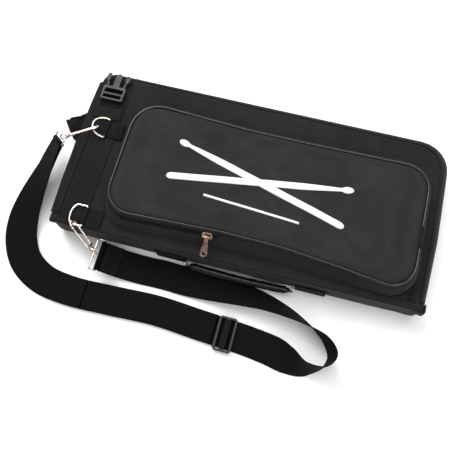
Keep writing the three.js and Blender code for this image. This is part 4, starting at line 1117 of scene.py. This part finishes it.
# ---- hardware -----------------------------------------------------------------------------
def make_hardware():
    """Metal and moulded fittings from their CAD solids, and the webbing sewn to them."""
    metals = {
        "dring_upper": ("dring_upper", 0.3), "dring_lower": ("dring_lower", 0.3),
        "hook_upper": ("hook_upper", 0.3), "hook_upper_gate": ("hook_upper_gate", 0.25),
        "hook_lower": ("hook_lower", 0.3), "hook_lower_gate": ("hook_lower_gate", 0.25),
        "eye_upper": ("front_half", 0.28), "eye_lower": ("back_half", 0.28),
        "loop_upper": ("front_half", 0.28), "loop_lower": ("back_half", 0.28),
        "handle_ring_left": ("handle", 0.25), "handle_ring_right": ("handle", 0.25),
    }
    for node, (body, voxel) in metals.items():
        cast(node, f"{node}_cast", NICKEL, body, voxel, grow=0.0)
    for node in ("main_slider", "main_pull", "pocket_slider", "pocket_pull"):
        cast(node, f"{node}_cast", SLIDER_METAL, node, 0.22, 4)
    for node in ("buckle_male", "buckle_female"):
        cast(node, f"{node}_moulded", BUCKLE_PLASTIC, node, 0.33)
    for node, body in (("buckle_webbing", "buckle_male"), ("buckle_female_webbing", "buckle_female"),
                       ("dring_tab_upper", "front_half"), ("dring_tab_lower", "front_half")):
        bevelled(node, f"{node}_sewn", SHORT_WEBBING, body)
    for name, x, y in (("tab_stitch_upper", -189, 24.5), ("tab_stitch_lower", -176, -100)):
        for number, shift in enumerate((0, -9)):
            line = [Vector((x + shift, y + side, 53.2)) for side in (-10, 10)]
            stitches(f"{name}_{number}", line, UP, "front_half", 2.6, 1.9)


def make_handle():
    """The padded grip with its seam and end loops, and the sewn tabs that hold its rings."""
    grip = []
    for i in range(41):
        t = i / 40
        sag = math.sin(math.pi * t) ** 0.6 if 0 < t < 1 else 0.0
        grip.append(Vector((mix(-54, 78, t), -120.2 - 1.6 * sag, 15 - 4.2 * sag)))

    def thickness(t):
        return 5.0 * min(1.0, 0.55 + 9 * min(t, 1 - t)) + 0.12 * math.sin(60 * t)

    handle = tube("handle_padded_grip", grip, thickness, GRIP_CLOTH, "handle", ["handle_grip"],
                  sides=20, flatten=0.92)
    seam = [p + Vector((0, -3.4, 3.2)) for p in grip[2:-2]]
    stitches("handle_seam", seam, Vector((0, -0.75, 0.65)), "handle", 3, 2)
    for name, x, way in (("handle_end_left", -58, 1), ("handle_end_right", 82, -1)):

        def loop_at(k, j):
            angle = math.pi * 2 * k / 12
            return [Vector((x + way * (1.2 - r * math.cos(angle)), -121.6 - r * math.sin(angle) * 0.6,
                            15.5 + 3 * j)) for r in (2.9, 1.9)]

        cloth(name, 12, 3, loop_at, SHORT_WEBBING, "handle", closed=True)
    for node, x0, x1 in (("handle_tab_left", -98, -62), ("handle_tab_right", 86, 122)):
        bevelled(node, f"{node}_sewn", SHORT_WEBBING, "back_half", 0.5)
        for number, z in enumerate((10, 28)):
            line = [Vector((x, -116.4, z)) for x in (x0, x1)]
            stitches(f"{node}_stitch_{number}", line, Vector((0, -1, 0)), "back_half", 2.8, 2.0)


def make_flap():
    """The loose cloth corner that sticks out past the mouth."""
    # Near end, far end and height of each line across the flap, from its sewn edge out.
    spans = [((-246.5, 12), (-246.5, 88), 6), ((-254, 11), (-250, 76), 10.5), ((-262, 13), (-256, 58), 16),
             ((-270, 22), (-264, 47), 21.5), ((-278, 33), (-274, 40), 25)]
    steps = 24

    def flap_at(i, j):
        at = i / steps * (len(spans) - 1)
        k = min(len(spans) - 2, int(at))
        (near, far, low), (next_near, next_far, high) = spans[k:k + 2]
        start = Vector(near).lerp(Vector(next_near), at - k)
        end = Vector(far).lerp(Vector(next_far), at - k)
        t = j / steps
        wave = 2.2 * math.sin(2 * math.pi * t) * at / 4 + 0.6 * noise.noise(Vector((at, t * 3, 1.5)))
        z = mix(low, high, at - k) + wave
        p = start.lerp(end, t)
        return Vector((*p, z + 1.4)), Vector((*p, z + 0.2))

    flap = cloth("loose_corner", steps + 1, steps + 1, flap_at, BAND_CLOTH, "corner_flap",
                 ["corner_flap"])
    hem = []
    for i in range(1, steps):
        below = flap_at(i, 0)[0].lerp(flap_at(i, steps)[0], 0.07)
        hem.append(Vector((below.x, below.y, flap_at(i, 2)[0].z + 0.1)))
    seam = stitches("loose_corner_hem", hem, UP, "corner_flap", 3, 2)


make_camera()
make_strap()
make_studio()
make_shells()
make_zip_side()
make_spine()
make_end_band()
make_inside()
make_mouth()
make_pocket_face()
make_piping()
make_pocket_sides()
make_emblem()
make_hardware()
make_handle()
make_flap()
bpy.context.view_layer.update()
